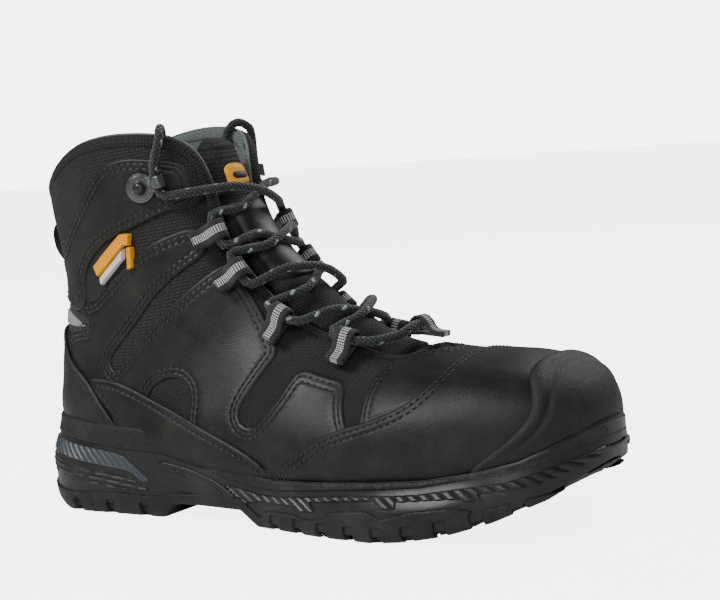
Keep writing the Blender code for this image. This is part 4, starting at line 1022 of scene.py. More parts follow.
UPPER = last_grid(
    np.concatenate([np.linspace(0.12, 3.5, 40), np.linspace(3.5, 16.2, 104)[1:],
                    np.linspace(16.2, TOE_TIP, 12)[1:]]),
    np.linspace(-1, 1, 175),
)
ROWS = UPPER[0]
RIM_AREA = RIM[:-3] + [(340, 148), (340, -30), (-12, -30)]
ON_TOP = np.abs(ROWS[:, AROUND]) < 0.5
THROAT = np.maximum(np.abs(ROWS[:, 1]) - THROAT_HALF, (ROWS[:, STATION] - THROAT_END) * 14)
SHELL = np.minimum(inside_by(ROWS[:, [0, 2]], chaikin(RIM_AREA)), np.where(ON_TOP, THROAT, 99.0))
HIDDEN_FOOT = ROWS[:, 2] - height_of(FOXING_TOP, ROWS[:, 0]) + 9


def covered_by(rows, outlines):
    """Where other pieces lie over this one."""
    hidden = np.zeros(len(rows), bool)
    for outline in outlines:
        hidden |= side_view(rows, outline) > -1.3
    return hidden


def panel(name, nodes, field, finish, high, slot, seams=SEAM_ROWS, under=(), **shape):
    """A sewn piece of the upper, with its stitches."""
    obj, rows, triangles, height = skin_piece(name, UPPER, field, finish, high=high, seams=seams, **shape)
    edge_attribute(obj, rows)
    finish_piece(obj, nodes)
    if seams:
        lines = seam_lines(rows, triangles, height, seams,
                           lambda r: over_foxing(r) & ~covered_by(r, under) & (r[:, FIELD] > 0))
        sew(f"{name} stitches", lines, THREAD)
    return rows, triangles, height


def one_side(field, sign, gap=0.25):
    """A field kept to one side of the boot."""
    return np.minimum(field, sign * ROWS[:, 1] - gap)


# The nylon shell shows in the slots, the windows and round the heel.
panel("nylon upper", ["textile_upper"], SHELL, NYLON_CLOTH, 0.25, "ballistic_nylon", seams=(), low=-1.2,
      radius=1.0, swell=0.1)

quarter_field = np.minimum.reduce([side_view(ROWS, QUARTER), -side_view(ROWS, MESH_WINDOW), HIDDEN_FOOT])
ankle_field = np.minimum(side_view(ROWS, ANKLE_PANEL), SHELL - 1)
for side, sign in SIDES:
    panel(f"quarter {side}", [f"quarter_{side}"], one_side(np.minimum(quarter_field, SHELL - 0.5), sign),
          OILED_SMOOTH, 1.5, "oiled_leather", under=(MUDGUARD, TOE_VAMP, COUNTER), swell=0.5)
    panel(f"ankle panel {side}", [f"ankle_panel_{side}"], one_side(ankle_field, sign, 9.0), OILED_SMOOTH, 1.9,
          "oiled_leather", swell=0.4)

collar_field = np.minimum.reduce([side_view(ROWS, COLLAR), SHELL, -side_view(ROWS, ANKLE_PANEL) + 3])
panel("collar cover", ["collar_cover"], collar_field, NYLON_CLOTH, 1.7, "ballistic_nylon", seams=(),
      radius=3.0, swell=0.5)

throat_plan = THROAT_PLAN + [(x, -y) for x, y in THROAT_PLAN[-2::-1]] + [(330, 70), (330, -70)]
throat_field = np.minimum.reduce([
    inside_by(ROWS[:, :2], chaikin(throat_plan)),
    side_view(ROWS, THROAT_BACK), HIDDEN_FOOT, np.where(ON_TOP, 99.0, ROWS[:, 2] - 30)])
panel("throat piece", ["throat_piece"], throat_field, OILED_SMOOTH, 1.5, "oiled_leather", under=(TOE_VAMP,))

vamp_field = np.minimum(side_view(ROWS, TOE_VAMP), HIDDEN_FOOT)
panel("toe vamp", ["toe_vamp"], vamp_field, OILED, 2.3, "oiled_leather", under=(BUMPER_OUTLINE,), swell=0.5)

guard_field = np.minimum(side_view(ROWS, MUDGUARD), HIDDEN_FOOT)
counter_field = np.minimum(side_view(ROWS, COUNTER), HIDDEN_FOOT)
edgings = []
for side, sign in SIDES:
    made = panel(f"mudguard {side}", [f"mudguard_{side}"], one_side(guard_field, sign), OILED, 2.2,
                 "oiled_leather", seams=(3.4,), under=(COUNTER, TOE_VAMP), swell=0.35)
    edgings.append((f"mudguard edging {side}", made, MUDGUARD))
made = panel("heel counter cover", ["heel_counter_cover"], counter_field, OILED, 2.6, "oiled_leather",
             seams=(3.4,), swell=0.4)
edgings.append(("heel counter edging", made, COUNTER))
for name, (rows, triangles, height), outline in edgings:
    for number, line in enumerate(contour(rows, triangles, 0.5)):
        line = np.array(line)
        on_line = rows[line]
        wanted = over_foxing(on_line) & (on_line[:, 0] < 160)
        if outline is MUDGUARD:
            wanted &= ~covered_by(on_line, (COUNTER, TOE_VAMP)) & (on_line[:, 2] > 28)
        else:
            wanted &= on_line[:, 0] > 11
        for run in wanted_runs(wanted, 13):
            points = on_line[run][:, P] + on_line[run][:, N] * (height[line[run], None] + 0.55)
            piping(f"{name} {number}", even_line(points, on_line[run][:, N], 2.0), 0.95, PIPED)


def bumper_shape(rows):
    """Two raised rims along the bumper's edge, and coarse ridges that run round the toe."""
    inside = rows[:, FIELD]
    rims = 0.5 * np.exp(-((inside - 2.4) / 1.1) ** 2) + 0.45 * np.exp(-((inside - 6.6) / 0.9) ** 2)
    groove = -0.55 * np.exp(-((inside - 4.6) / 0.7) ** 2)
    return (rims + groove) * np.clip((rows[:, 2] - 38) / 8, 0, 1) + 0.9 * np.clip(rows[:, 5], 0, 1)


bumper_field = np.minimum(side_view(ROWS, BUMPER_OUTLINE), HIDDEN_FOOT + 3)
panel("toe bumper", ["toe_bumper"], bumper_field, BUMPER_RUBBER, 3.7, "bumper_rubber", seams=(),
      low=1.5, shape=bumper_shape, extra=(1.3, 2.4, 3.2, 3.9, 4.6, 5.3, 6.0, 6.6, 7.4), radius=1.3)

strip_field = np.minimum(side_view(ROWS, REFLECTIVE), np.abs(ROWS[:, 1]) - 11)
window_field = np.minimum(side_view(ROWS, HEEL_WINDOW), np.abs(ROWS[:, 1]) - 6)
for side, sign in SIDES:
    panel(f"heel trim {side}", [], one_side(window_field, sign), BLACK_MESH, 0.8, "ballistic_nylon",
          seams=(), low=0.1, swell=0.1)
    panel(f"reflective strip {side}", [f"reflective_strip_{side}"], one_side(strip_field, sign),
          BEADED_TAPE, 1.7, "reflective_tape", seams=(), low=0.4, radius=0.5, swell=0.0)

backstay_field = np.minimum.reduce([10.0 - np.abs(ROWS[:, 1]), side_view(ROWS, [
    (-20, 84), (-20, 150), (30, 150), (30, 84)]), 40 - ROWS[:, 0]])
panel("backstay", ["backstay"], backstay_field, OILED, 2.5, "oiled_leather", seams=(2.2,), swell=0.2)


# --- lining and collar ----------------------------------------------------------------------------

BED = [(0, 25), (40, 25), (84, 24), (130, 20), (175, 17), (210, 17), (238, 18), (261, 20), (278, 23),
       (300, 29)]
lining_field = np.minimum(SHELL - 0.4, ROWS[:, 2] - height_of(BED, ROWS[:, 0]) - 8)
panel("lining", ["lining"], lining_field, LINING_MESH, -4.4, "lining_fabric", seams=(), low=-5.3,
      radius=0.5, swell=0.3)


def opening_line():
    """The edge of the opening, from one side of the throat round the heel to the other."""
    rows, triangles = cut_out(UPPER, SHELL, ())
    edge = rows[max(contour(rows, triangles, 0.0), key=len)]
    keep = edge[:, STATION] < THROAT_END + 0.5
    start = np.argmax(~keep) if (~keep).any() else np.argmax(edge[:, STATION])
    order = np.roll(np.arange(len(edge)), -start)
    return edge[order[keep[order]]]


OPENING = opening_line()


def collar_roll():
    """The padded roll of the collar, which thins to a bound edge down both sides of the throat."""
    points, normals = even_line(OPENING[:, P], OPENING[:, N], 2.6)
    along = directions(points)
    up = np.cross(along, normals)
    middle = points.mean(0)
    up *= -np.sign(np.sum(up[len(up) // 2] * (np.array([middle[0], 0, -60]) - points[len(up) // 2])))
    run = np.interp(np.arange(len(points)), np.linspace(0, len(points) - 1, len(OPENING)),
                    OPENING[:, STATION])
    full = np.clip((2.3 - run) / 0.9, 0, 1)
    rise = 0.9 + 2.3 * full * full * (3 - 2 * full)
    profile = np.array([(1.75, -2.6), (2.1, -0.8), (1.9, 0.35), (1.1, 0.72), (-0.3, 0.95), (-1.8, 1.0),
                        (-3.4, 0.9), (-4.7, 0.62), (-5.35, 0.2), (-5.5, -0.9), (-5.4, -2.6), (-2, -2.4)])
    rings = []
    for k in range(len(points)):
        high = np.where(profile[:, 1] > 0, profile[:, 1] * rise[k], profile[:, 1])
        rings.append(points[k] + normals[k] * profile[:, :1] + up[k] * high[:, None])
    rings = np.array(rings)
    n, m = rings.shape[:2]
    uv = np.stack(np.broadcast_arrays(run_along(rings[n // 2])[None], run_along(points)[:, None]), -1)
    obj = make_object("collar roll", rings.reshape(-1, 3), ring_faces(n, m), NYLON_CLOTH,
                      uv.reshape(-1, 2))
    obj.data.materials.append(LINING_MESH)
    for polygon in obj.data.polygons:
        row = [v % m for v in polygon.vertices] if len(polygon.vertices) == 4 else [0]
        if min(row) >= 6 and max(row) <= 10:
            polygon.material_index = 1
    finish_piece(obj, [], smooth=0)
    edge = points + normals * -2.9 + up * (rise * 0.98 + 0.2)[:, None]
    piping("collar piping", (edge, normals), 0.65, COLLAR_PIPING)


collar_roll()


# --- sole -----------------------------------------------------------------------------------------

SOLE_HALF = [(0, 41.5), (42, 41.5), (75, 41), (110, 38.5), (150, 42.5), (188, 51), (222, 56), (304, 56)]
SOLE_CENTRE = [(0, -1.5), (70, -2.5), (110, -4.5), (150, -4.5), (188, -4), (222, -2), (253, 0), (280, 3),
               (304, 6)]
SOLE_LENGTH, HEEL_ROUND, TOE_ROUND = 304.0, 42.0, 79.0
FOXING_LOW = [(-8, 37), (20, 37), (45, 34), (67, 32), (89, 31), (111, 27), (132, 21), (150, 18), (163, 18),
              (195, 21), (239, 24), (259, 27), (276, 29), (287, 32), (301, 37), (312, 42)]
LUG_TOP = [(-8, 16), (20, 11), (33, 10.5), (60, 11.5), (84, 11), (96, 13), (138, 14), (151, 5), (155, 9),
           (171, 10), (179, 8), (190, 9), (196, 13), (216, 15), (223, 12), (232, 14), (237, 16), (257, 18),
           (265, 16), (278, 19), (295, 22), (304, 29), (312, 34)]
STRIP_LOW = [(141, 11), (151, 13), (172, 13), (178, 11), (187, 12), (184, 16), (218, 19), (223, 16),
             (230, 16), (230, 19), (242, 20), (257, 21), (261, 20), (268, 21), (266, 23), (287, 25),
             (299, 30), (308, 36)]
STABILISER_BAND = [(-8, 36), (20, 35.5), (45, 33), (66, 30.5), (72, 27), (84, 18), (79, 16.5), (72, 22),
                   (58, 23.5), (40, 25.5), (22, 28), (-8, 31)]
HEEL_BAND = [(-8, 29), (22, 26.5), (33, 23), (60, 21), (70, 20), (79, 15), (84, 12.5), (40, 12.5), (-8, 18)]
ARCH_PANEL = [(88, 29), (108, 25.5), (126, 20.5), (139, 12.5), (118, 11.5), (97, 14.5), (88, 20)]
ARCH_INLAY = [(93, 26.5), (108, 23.3), (122, 19), (131, 13.6), (119, 13.8), (110, 18.6)]
LUG_GAPS = (34, 56, 78, 160, 175, 190, 205, 220, 235, 250, 265, 280)
LUG_GAP = 4.4


def sole_half_width(x):
    """Half width of the sole at x."""
    half = height_of(SOLE_HALF, x)
    heel = np.clip((HEEL_ROUND - x) / HEEL_ROUND, 0, 1)
    toe = np.clip((x - SOLE_LENGTH + TOE_ROUND) / TOE_ROUND, 0, 1)
    return half * (1 - heel**2.3) ** (1 / 2.2) * (1 - toe**2.4) ** (1 / 2.2)


def sole_edge(step=1.7):
    """The sole's edge in plan, from the middle of the heel along the outer side and back."""
    x = SOLE_LENGTH / 2 * (1 - np.cos(np.linspace(0, math.pi, 600)))
    x = np.clip(x, 1e-4, SOLE_LENGTH - 1e-4)
    half, centre = sole_half_width(x), height_of(SOLE_CENTRE, x)
    edge = np.vstack([np.stack([x, centre - half], 1), np.stack([x, centre + half], 1)[::-1]])
    run = run_along(edge)
    at = np.linspace(0, run[-1], int(run[-1] / step))
    return values_at(at, run, edge), at


def upper_gap(edge, outward, top):
    """How far inside the sole's edge the upper's skin lies at the top of the foxing."""
    out = np.where(ROWS[:, 0] > 262, 4.0, 2.2)
    surface = ROWS[:, P] + ROWS[:, N] * out[:, None]
    gap = []
    for point, away, z in zip(edge, outward, top):
        offset = surface[:, :2] - point
        beside = np.abs(offset[:, 0] * away[1] - offset[:, 1] * away[0])
        near = (np.abs(surface[:, 2] - z) < 2.5) & (beside < 3.0)
        reach = offset[near] @ away
        gap.append(-reach.max() if len(reach) else 2.0)
    kernel = np.hanning(17) / np.hanning(17).sum()
    return np.convolve(np.pad(np.clip(gap, 0.3, 9), 8, mode="edge"), kernel, "valid")


def sole_grid():
    """The side wall of the sole as rows like the upper's, and its triangles."""
    edge, run = sole_edge()
    along = directions(edge)
    outward = np.stack([along[:, 1], -along[:, 0]], 1)
    centre = np.array([SOLE_LENGTH / 2, 0])
    outward *= np.sign(np.sum(outward * (edge - centre), 1).mean())
    levels = np.linspace(0, 1, 40)
    inset = np.interp(levels, (0, 0.06, 0.15, 0.45, 0.8, 1), (2.2, 0.9, 0.3, 0.0, 0.4, 1.4))
    low, high = height_of(UNDERSIDE, edge[:, 0]), height_of(FOXING_TOP, edge[:, 0])
    z = low[:, None] + (high - low)[:, None] * levels
    lean = np.clip((levels - 0.45) / 0.55, 0, 1)
    lean = lean * lean * (3 - 2 * lean)
    inset = inset[None] * (1 - lean) + upper_gap(edge, outward, high)[:, None] * lean
    xy = edge[:, None] - outward[:, None] * inset[..., None]
    points = np.concatenate([xy, z[..., None]], -1)
    normals = np.concatenate([outward[:, None] + 0 * xy, 0 * z[..., None]], -1)
    extra = np.broadcast_arrays(run[:, None], z, run[:, None] * 0, edge[:, :1], z * 0)
    rows = np.concatenate([points, normals, np.stack(extra, -1)], -1).reshape(-1, 11)
    return rows, grid_triangles(*z.shape)


WALL = sole_grid()
WALL_ROWS = WALL[0]


def below(line, rows):
    """How far points lie below a side-view line."""
    return height_of(line, rows[:, 0]) - rows[:, 2]


def raised_piece(name, nodes, grid, field, finish, slot, smooth=35, low=-0.5, swell=0.0, **shape):
    """An unsewn raised area on the sole's wall or on the last."""
    obj, rows, _, _ = skin_piece(name, grid, field, finish, low=low, swell=swell, seams=(), **shape)
    edge_attribute(obj, rows)
    finish_piece(obj, nodes, smooth=smooth)


def grooves(direction, pitch, depth, start=0.0):
    """Straight grooves across the wall in side view."""
    direction = np.array(direction, float) / np.linalg.norm(direction)

    def shape(rows):
        at = (rows[:, [0, 2]] @ direction - start) / pitch
        return -depth * np.exp(-((at - np.round(at)) / 0.16) ** 2)

    return shape


def split_fine(grid, direction, pitch, start, end):
    """The grid cut finely across a direction, so that grooves have crisp sides."""
    rows, triangles = grid
    direction = np.array(direction, float) / np.linalg.norm(direction)
    rows = rows.copy()
    rows[:, AROUND] = rows[:, [0, 2]] @ direction
    near = (rows[triangles][:, :, AROUND].max(1) > start) & (rows[triangles][:, :, AROUND].min(1) < end)
    rows, triangles = compact(rows, triangles[near])
    for k in range(int((end - start) / pitch) + 1):
        for share in (-0.36, -0.16, 0.0, 0.16, 0.36):
            rows, triangles = split(rows, triangles, start + (k + share) * pitch, AROUND)
    return rows, triangles


def cup_sole():
    """The moulded cup: its wall, a lip that meets the upper, and a floor under the insole."""
    wall = WALL_ROWS.reshape(len(sole_edge()[0]), -1, WALL_ROWS.shape[1])
    raised = np.interp(np.arange(wall.shape[1]), (0, 4, wall.shape[1] - 3, wall.shape[1] - 1),
                       (0.3, 0.4, 0.4, 0.0))
    outer = wall[:, 5:, P] + wall[:, 5:, N] * raised[5:][None, :, None]
    top, away, x = outer[:, -1], wall[:, 0, N], wall[:, 0, 0]
    lip = top - away * 3.2 - [0, 0, 0.9]
    floor_edge = top - away * 5.0
    floor_edge[:, 2] = height_of(BED, x) + 3
    foot = outer[:, 0] - away * 2.0
    rings = np.concatenate([foot[:, None], outer, lip[:, None], floor_edge[:, None]], 1)
    n, m = rings.shape[:2]
    faces = [((i + 1) % n * m + j, i * m + j, i * m + j + 1, (i + 1) % n * m + j + 1)
             for i in range(n) for j in range(m - 1)]
    for j, flip in ((0, False), (m - 1, True)):
        for i in range(n // 2 - 1):
            quad = (i * m + j, (i + 1) * m + j, (n - 2 - i) * m + j, (n - 1 - i) * m + j)
            faces.append(quad[::-1] if flip else quad)
    obj = make_object("cup sole", rings.reshape(-1, 3), faces, SMOOTH_FOAM)
    edge_attribute(obj)
    finish_piece(obj, ["midsole"])


cup_sole()
foxing = np.minimum(-below(FOXING_LOW, WALL_ROWS),
                    height_of(FOXING_TOP, WALL_ROWS[:, 0]) - WALL_ROWS[:, 2] + 0.6)
raised_piece("foxing band", [], WALL, foxing, SOLE_FOAM, "midsole_foam", low=-3.6, high=1.5, radius=2.0,
             swell=0.12, shape=lambda rows: -1.1 * np.clip((rows[:, 0] - 240) / 25, 0, 1))


def grooved_piece(name, nodes, outline, rounds, finish, slot, high, radius, lines, depth):
    """A raised area on the wall with straight grooves; lines is their direction, pitch, start and end."""
    direction, pitch, start, _ = lines
    fine = split_fine(WALL, *lines)
    raised_piece(name, nodes, fine, side_view(fine[0], outline, rounds), finish, slot, smooth=30,
                 high=high, radius=radius, shape=grooves(direction, pitch, depth, start))


STRIP_TOP = [(x, z - 1.6) for x, z in FOXING_LOW if x >= 132]
STRIP_OUTLINE = [(128, 19.5), *STRIP_TOP, *STRIP_LOW[::-1]]
grooved_piece("heel stabiliser", ["heel_stabiliser"], STABILISER_BAND, 1, STABILISER, "stabiliser_plastic",
              1.3, 0.7, ((0.72, 0.7), 3.0, 3.0, 84.0), 0.8)
grooved_piece("heel band", [], HEEL_BAND, 1, SMOOTH_FOAM, "midsole_foam", 1.0, 0.7,
              ((0.12, 1.0), 2.68, 21.43, 29.43), 0.9)
raised_piece("arch panel", [], WALL, side_view(WALL_ROWS, ARCH_PANEL, 1), SMOOTH_FOAM, "midsole_foam",
             high=1.4, radius=0.8)
raised_piece("arch inlay", [], WALL, side_view(WALL_ROWS, ARCH_INLAY, 1), SOLE_RUBBER, "sole_rubber",
             high=2.0, radius=0.6)
grooved_piece("forefoot ribbed strip", [], STRIP_OUTLINE, 0, SMOOTH_FOAM, "midsole_foam", 1.35, 0.6,
              ((0.55, 0.84), 3.4, 88.0, 196.0), 0.75)


def wall_lugs():
    """The outsole's edge, wrapped up the wall in blocks between the lug gaps."""
    low = WALL_ROWS[:, 2] - height_of(UNDERSIDE, WALL_ROWS[:, 0])
    field = np.minimum(below(LUG_TOP, WALL_ROWS), low + 0.01)
    x = WALL_ROWS[:, 0]
    for gap in LUG_GAPS:
        notch = np.maximum(np.abs(x - gap) - LUG_GAP / 2, low - 7.0)
        field = np.minimum(field, np.where(np.abs(x - gap) < 8, notch, 99))
    raised_piece("outsole edge", [], WALL, field, SOLE_RUBBER, "sole_rubber", low=-1.6, high=1.5,
                 radius=0.8)


wall_lugs()


# --- tongue ---------------------------------------------------------------------------------------

TONGUE_START, TONGUE_END = 0.62, 9.25
TONGUE_EDGE, STATION_RUN = 2.2, 15.0
TONGUE_PROFILE = np.array([(-25.0, -8.2, -10.8), (-18.5, -7.2, -10.4), (-15.5, -2.5, -9.0), (-9.0, 0.3, -7.5),
                           (0.0, 0.6, -7.0), (9.0, 0.3, -7.5), (15.5, -2.5, -9.0), (18.5, -7.2, -10.4),
                           (25.0, -8.2, -10.8)])


def profile_height(y, column):
    """The tongue's upper or lower face across its width, in one smooth curve."""
    at = np.interp(y, TONGUE_PROFILE[:, 0], np.arange(len(TONGUE_PROFILE)))
    return spline(TONGUE_PROFILE, at)[..., column]


def tongue_point(station, y, height):
    """Places on the tongue, from (station, y, height over the last)."""
    return skin(station, np.vectorize(around_for)(station, y), height[..., None])


def tongue_layer(name, nodes, finish, stations, half, top, low, round_end, crown=0.0, puff=(),
                 columns=41, on_face=False):
    """A closed layer of the tongue between two heights, crowned, with its ends rounded in plan.

    top is counted from the tongue's face, and low from its back or, with on_face, from its face.
    """
    first, last = stations
    down = np.linspace(first, last, int((last - first) * 13) + 12)
    grid_s, grid_t = np.meshgrid(down, np.linspace(-1, 1, columns), indexing="ij")
    from_end = np.minimum(grid_s - first, last - grid_s)
    y = grid_t * half * np.sqrt(np.clip(1 - np.clip(1 - from_end / round_end, 0, 1) ** 2.6, 0.02, 1))
    edge = (np.clip((1 - np.abs(grid_t)) * half / TONGUE_EDGE, 0, 1)
            * np.clip(from_end * STATION_RUN / TONGUE_EDGE, 0, 1))
    rounded = np.sqrt(np.clip(1 - (1 - edge) ** 2, 0, 1))
    upper = profile_height(y, 1) + top + crown * (1 - grid_t**2)
    for centre, reach, rise in puff:
        upper = upper + rise * np.exp(-(((grid_s - centre) / reach) ** 4))
    lower = profile_height(y, 1 if on_face else 2) + low
    upper = lower + (upper - lower) * rounded
    sunk = 10.0 * np.clip((2.5 - grid_s) / 1.9, 0, 1) ** 1.15
    outer, inner = tongue_point(grid_s, y, upper - sunk), tongue_point(grid_s, y, lower - sunk)
    n, m = grid_s.shape
    points = np.vstack([outer.reshape(-1, 3), inner.reshape(-1, 3)])
    faces = []
    for i in range(n - 1):
        for j in range(m - 1):
            a = i * m + j
            quad = (a, a + 1, a + m + 1, a + m)
            faces += [quad, tuple(k + n * m for k in quad[::-1])]
    border = (list(range(m)) + [i * m + m - 1 for i in range(1, n)]
              + [(n - 1) * m + j for j in range(m - 2, -1, -1)] + [i * m for i in range(n - 2, 0, -1)])
    for a, b in zip(border, border[1:] + border[:1]):
        faces.append((b, a, a + n * m, b + n * m))
    run = (grid_s * 16.0).ravel()
    uv = np.stack([y.ravel(), run], 1)
    obj = make_object(name, points, faces, finish, np.vstack([uv, uv]))
    edge_attribute(obj)
    finish_piece(obj, nodes, "tongue", smooth=60)


TONGUE_PUFFS = ((1.2, 0.75, 1.3), (5.4, 0.45, 0.8), (7.0, 0.55, 0.8))
tongue_layer("padded tongue", ["tongue"], TONGUE_CLOTH, (TONGUE_START, TONGUE_END), 24.0,
             0.2, 0.0, 0.55, crown=1.2, puff=TONGUE_PUFFS, columns=61)
tongue_layer("tongue lining", ["tongue_lining"], LINING_MESH,
             (TONGUE_START - 0.04, 8.6), 21.0, -8.0, -0.8, 0.55, columns=31)
tongue_layer("tongue binding", [], TONGUE_CLOTH, (TONGUE_START - 0.08, 0.85), 22.0,
             0.9, -0.6, 0.6, crown=1.4)
tongue_layer("tongue patch", ["tongue_patch"], OILED_SMOOTH, (1.95, 4.95), 13.5, 2.2, 0.9,
             0.35, crown=1.0, on_face=True)
tongue_layer("tongue badge", ["tongue_badge"], YELLOW, (0.95, 1.6), 9.0, 3.3, 1.8, 0.2,
             crown=1.2, columns=25, on_face=True)
tongue_layer("tongue badge bar", [], BADGE_BLACK, (1.12, 1.43), 6.5, 4.0, 2.6, 0.12,
             crown=1.2, columns=21, on_face=True)


# --- lacing ---------------------------------------------------------------------------------------

LACE_RADIUS, LACE_SIDES = 2.1, 14
TIP_SIZES = [(0, 0.7), (0.2, 1.62), (1.2, 1.7), (14, 1.6), (15.2, 1.45), (19.2, 1.3), (19.9, 0.9), (20, 0.2)]
EYE, WEBBING, LOOP_RUN, LACE_LINE = 3.0, 1.3, 8.2, 21.5
LACE_HEIGHT, CENTRE_HEIGHT, HOOK_HEIGHT, SEAT = 8.7, 10.8, 7.55, 2.1
UNDER_HEIGHT, OVER_HEIGHT = 4.7, 10.1
TAB_TOP = -2.35
CENTRE_STATION, CENTRE_HALF, HOOK_STATION, HOOK_HALF, HOOK_Y = 9.15, 6.2, 1.12, 0.27, 32.5
TUCKED_HEIGHT = -8.3
CROSSING_Y, CROSSING_SHIFT = 10.5, 0.2
LACE_STEP = 11.0
OVER_RIM = [(0.44, 31.8, 5.0), (0.33, 31.9, 2.6), (0.27, 32.0, -1.6), (0.33, 32.2, -5.8),
            (0.48, 32.5, -8.3)]
DOWN_INSIDE = [(0.8, 0.31), (1.8, 0.34), (2.9, 0.375), (4.0, 0.42), (5.0, 0.47), (6.0, 0.53)]
ON_FOOTBED = [(103, 24.5, 47), (111, 23.5, 41.5), (124, 22.5, 38), (140, 23, 36), (156, 25, 34.8)]


def loop_ends(station, side):
    """Where the lace enters and leaves a side loop, toe end first."""
    y = side * LACE_LINE
    spacing = np.linalg.norm(place(station + 0.5, y, 0) - place(station - 0.5, y, 0))
    half = LOOP_RUN / spacing
    return place(station + half, y, LACE_HEIGHT), place(station - half, y, LACE_HEIGHT)


def hook_ends(side):
    """Where the lace enters and leaves a hook, toe end first."""
    return (place(HOOK_STATION + HOOK_HALF, side * (HOOK_Y - 1.0), HOOK_HEIGHT),
            place(HOOK_STATION - HOOK_HALF, side * (HOOK_Y + 0.3), HOOK_HEIGHT))


def half_route(side):
    """Half of the lace, from the centre loop over the loops and a hook, then down inside the boot."""
    crossing = OVER_HEIGHT if side < 0 else UNDER_HEIGHT
    route = [place(CENTRE_STATION, side * CENTRE_HALF, CENTRE_HEIGHT),
             place(CENTRE_STATION - 0.12, side * 13.5, LACE_HEIGHT)]
    for station in LOOP_STATIONS[::-1]:
        route += loop_ends(station, side)
        above = max(s for s in (HOOK_STATION, *LOOP_STATIONS) if s < station)
        middle, shift = (station + above) / 2, (station - above) * CROSSING_SHIFT
        beside = (crossing + LACE_HEIGHT) / 2 - 0.4
        route += [place(middle + shift, side * CROSSING_Y, beside), place(middle, 0, crossing),
                  place(middle - shift, -side * CROSSING_Y, beside)]
        side = -side
    route += [place(HOOK_STATION + 0.42, side * 23.0, HOOK_HEIGHT + SEAT), *hook_ends(side)]
    route += [place(s, side * y, height) for s, y, height in OVER_RIM]
    route += [skin(s, side * around, TUCKED_HEIGHT) for s, around in DOWN_INSIDE]
    route += [np.array([x, side * y, z]) for x, y, z in ON_FOOTBED]
    return route


def smooth_route(route, step):
    """Points along a smooth curve through the route, one interval at a time."""
    points = []
    for k in range(len(route) - 1):
        pieces = max(1, int(np.linalg.norm(route[k + 1] - route[k]) / step + 0.4))
        points += [spline(route, k + i / pieces) for i in range(pieces)]
    return points + [route[-1]]


def lay_lace():
    """The braided lace and its two tips."""
    path = np.array(smooth_route(half_route(1)[::-1] + half_route(-1), LACE_STEP))
    fine = fine_spline(path, 0.34)
    normals = np.zeros_like(fine)
    along = directions(fine)
    normal = np.cross(along[0], [0, 1, 0])
    for k in range(len(fine)):
        normal = normal - along[k] * (normal @ along[k])
        normal /= np.linalg.norm(normal)
        normals[k] = normal
    vertices, faces, uv = sweep(fine, normals, round_section(LACE_RADIUS, LACE_SIDES))
    lace = make_object("lace", vertices, faces, LACE_CORD, uv, merge=0)
    finish_piece(lace, ["lace"])
    for side, end, before in (("medial", path[0], path[1]), ("lateral", path[-1], path[-2])):
        out = (end - before) / np.linalg.norm(end - before)
        line = np.array([end + out * (at + 0.02) for at, _ in TIP_SIZES])
        section = [round_section(radius, LACE_SIDES) for _, radius in TIP_SIZES]
        tip_points, tip_faces, tip_uv = sweep(line, np.repeat([[0, 0, 1.0]], len(line), 0), section)
        tip = make_object(f"lace tip {side}", tip_points, tip_faces, TIP_PLASTIC, tip_uv)
        finish_piece(tip, [f"lace_tip_{side}"])


lay_lace()


def loop_frame(first, second, normal, away):
    """Axes of a lace loop: away from the lace line, up from the leather, and along the lace."""
    run = (second - first) / np.linalg.norm(second - first)
    up = normal - run * (normal @ run)
    up /= np.linalg.norm(up)
    out = np.cross(run, up)
    return (out if out @ away > 0 else -out), up, run


def strap_section(width, thick):
    """A flat strap's outline, with rounded selvedges."""
    half, up, corner = width / 2, thick / 2, thick * 0.42
    face = [(-half, corner - up), (corner - half, -up), (-half / 2, -up), (0, -up), (half / 2, -up),
            (half - corner, -up), (half, corner - up)]
    return face + [(x, -z) for x, z in face[::-1]]


def strap(name, points, across, width, thick, finish, nodes, body="boot"):
    """A woven strap along a line of points; across is its width direction."""
    normals = np.cross(directions(points), np.broadcast_to(across, points.shape))
    outline = strap_section(width, thick)
    vertices, faces, uv = sweep(points, normals, outline)
    uv[:, 0] = np.tile([sideways for sideways, _ in outline], len(points))
    finish_piece(make_object(name, vertices, faces, finish, uv), nodes, body, smooth=50)


def sew_loop(name, node, centre, axes, tab, width):
    """A folded webbing loop round the lace: along the tab, round the lace and back over itself."""
    out, up, run = axes
    middle = EYE + WEBBING / 2
    turn = np.radians(np.arange(270, 44, -15))
    path = [(tab, -middle), (tab * 0.66, -middle), (tab * 0.33, -middle)]
    path += [(math.cos(t) * middle, math.sin(t) * middle) for t in turn]
    path += [(4.2, 1.1), (5.6, -0.8), (7.2, -1.95), (9.2, -2.32), (tab * 0.86, TAB_TOP), (tab, TAB_TOP)]
    line = fine_spline(path, 0.5)
    points = centre + line[:, :1] * out + line[:, 1:] * up
    strap(name, points, run, width, WEBBING - 0.05, LOOP_WEBBING, [node])
    tack = centre + out * (tab - 4.2) + up * (TAB_TOP + WEBBING / 2)
    return np.array([tack + run * k for k in np.linspace(-2.6, 2.6, 9)]), np.repeat([up], 9, 0)


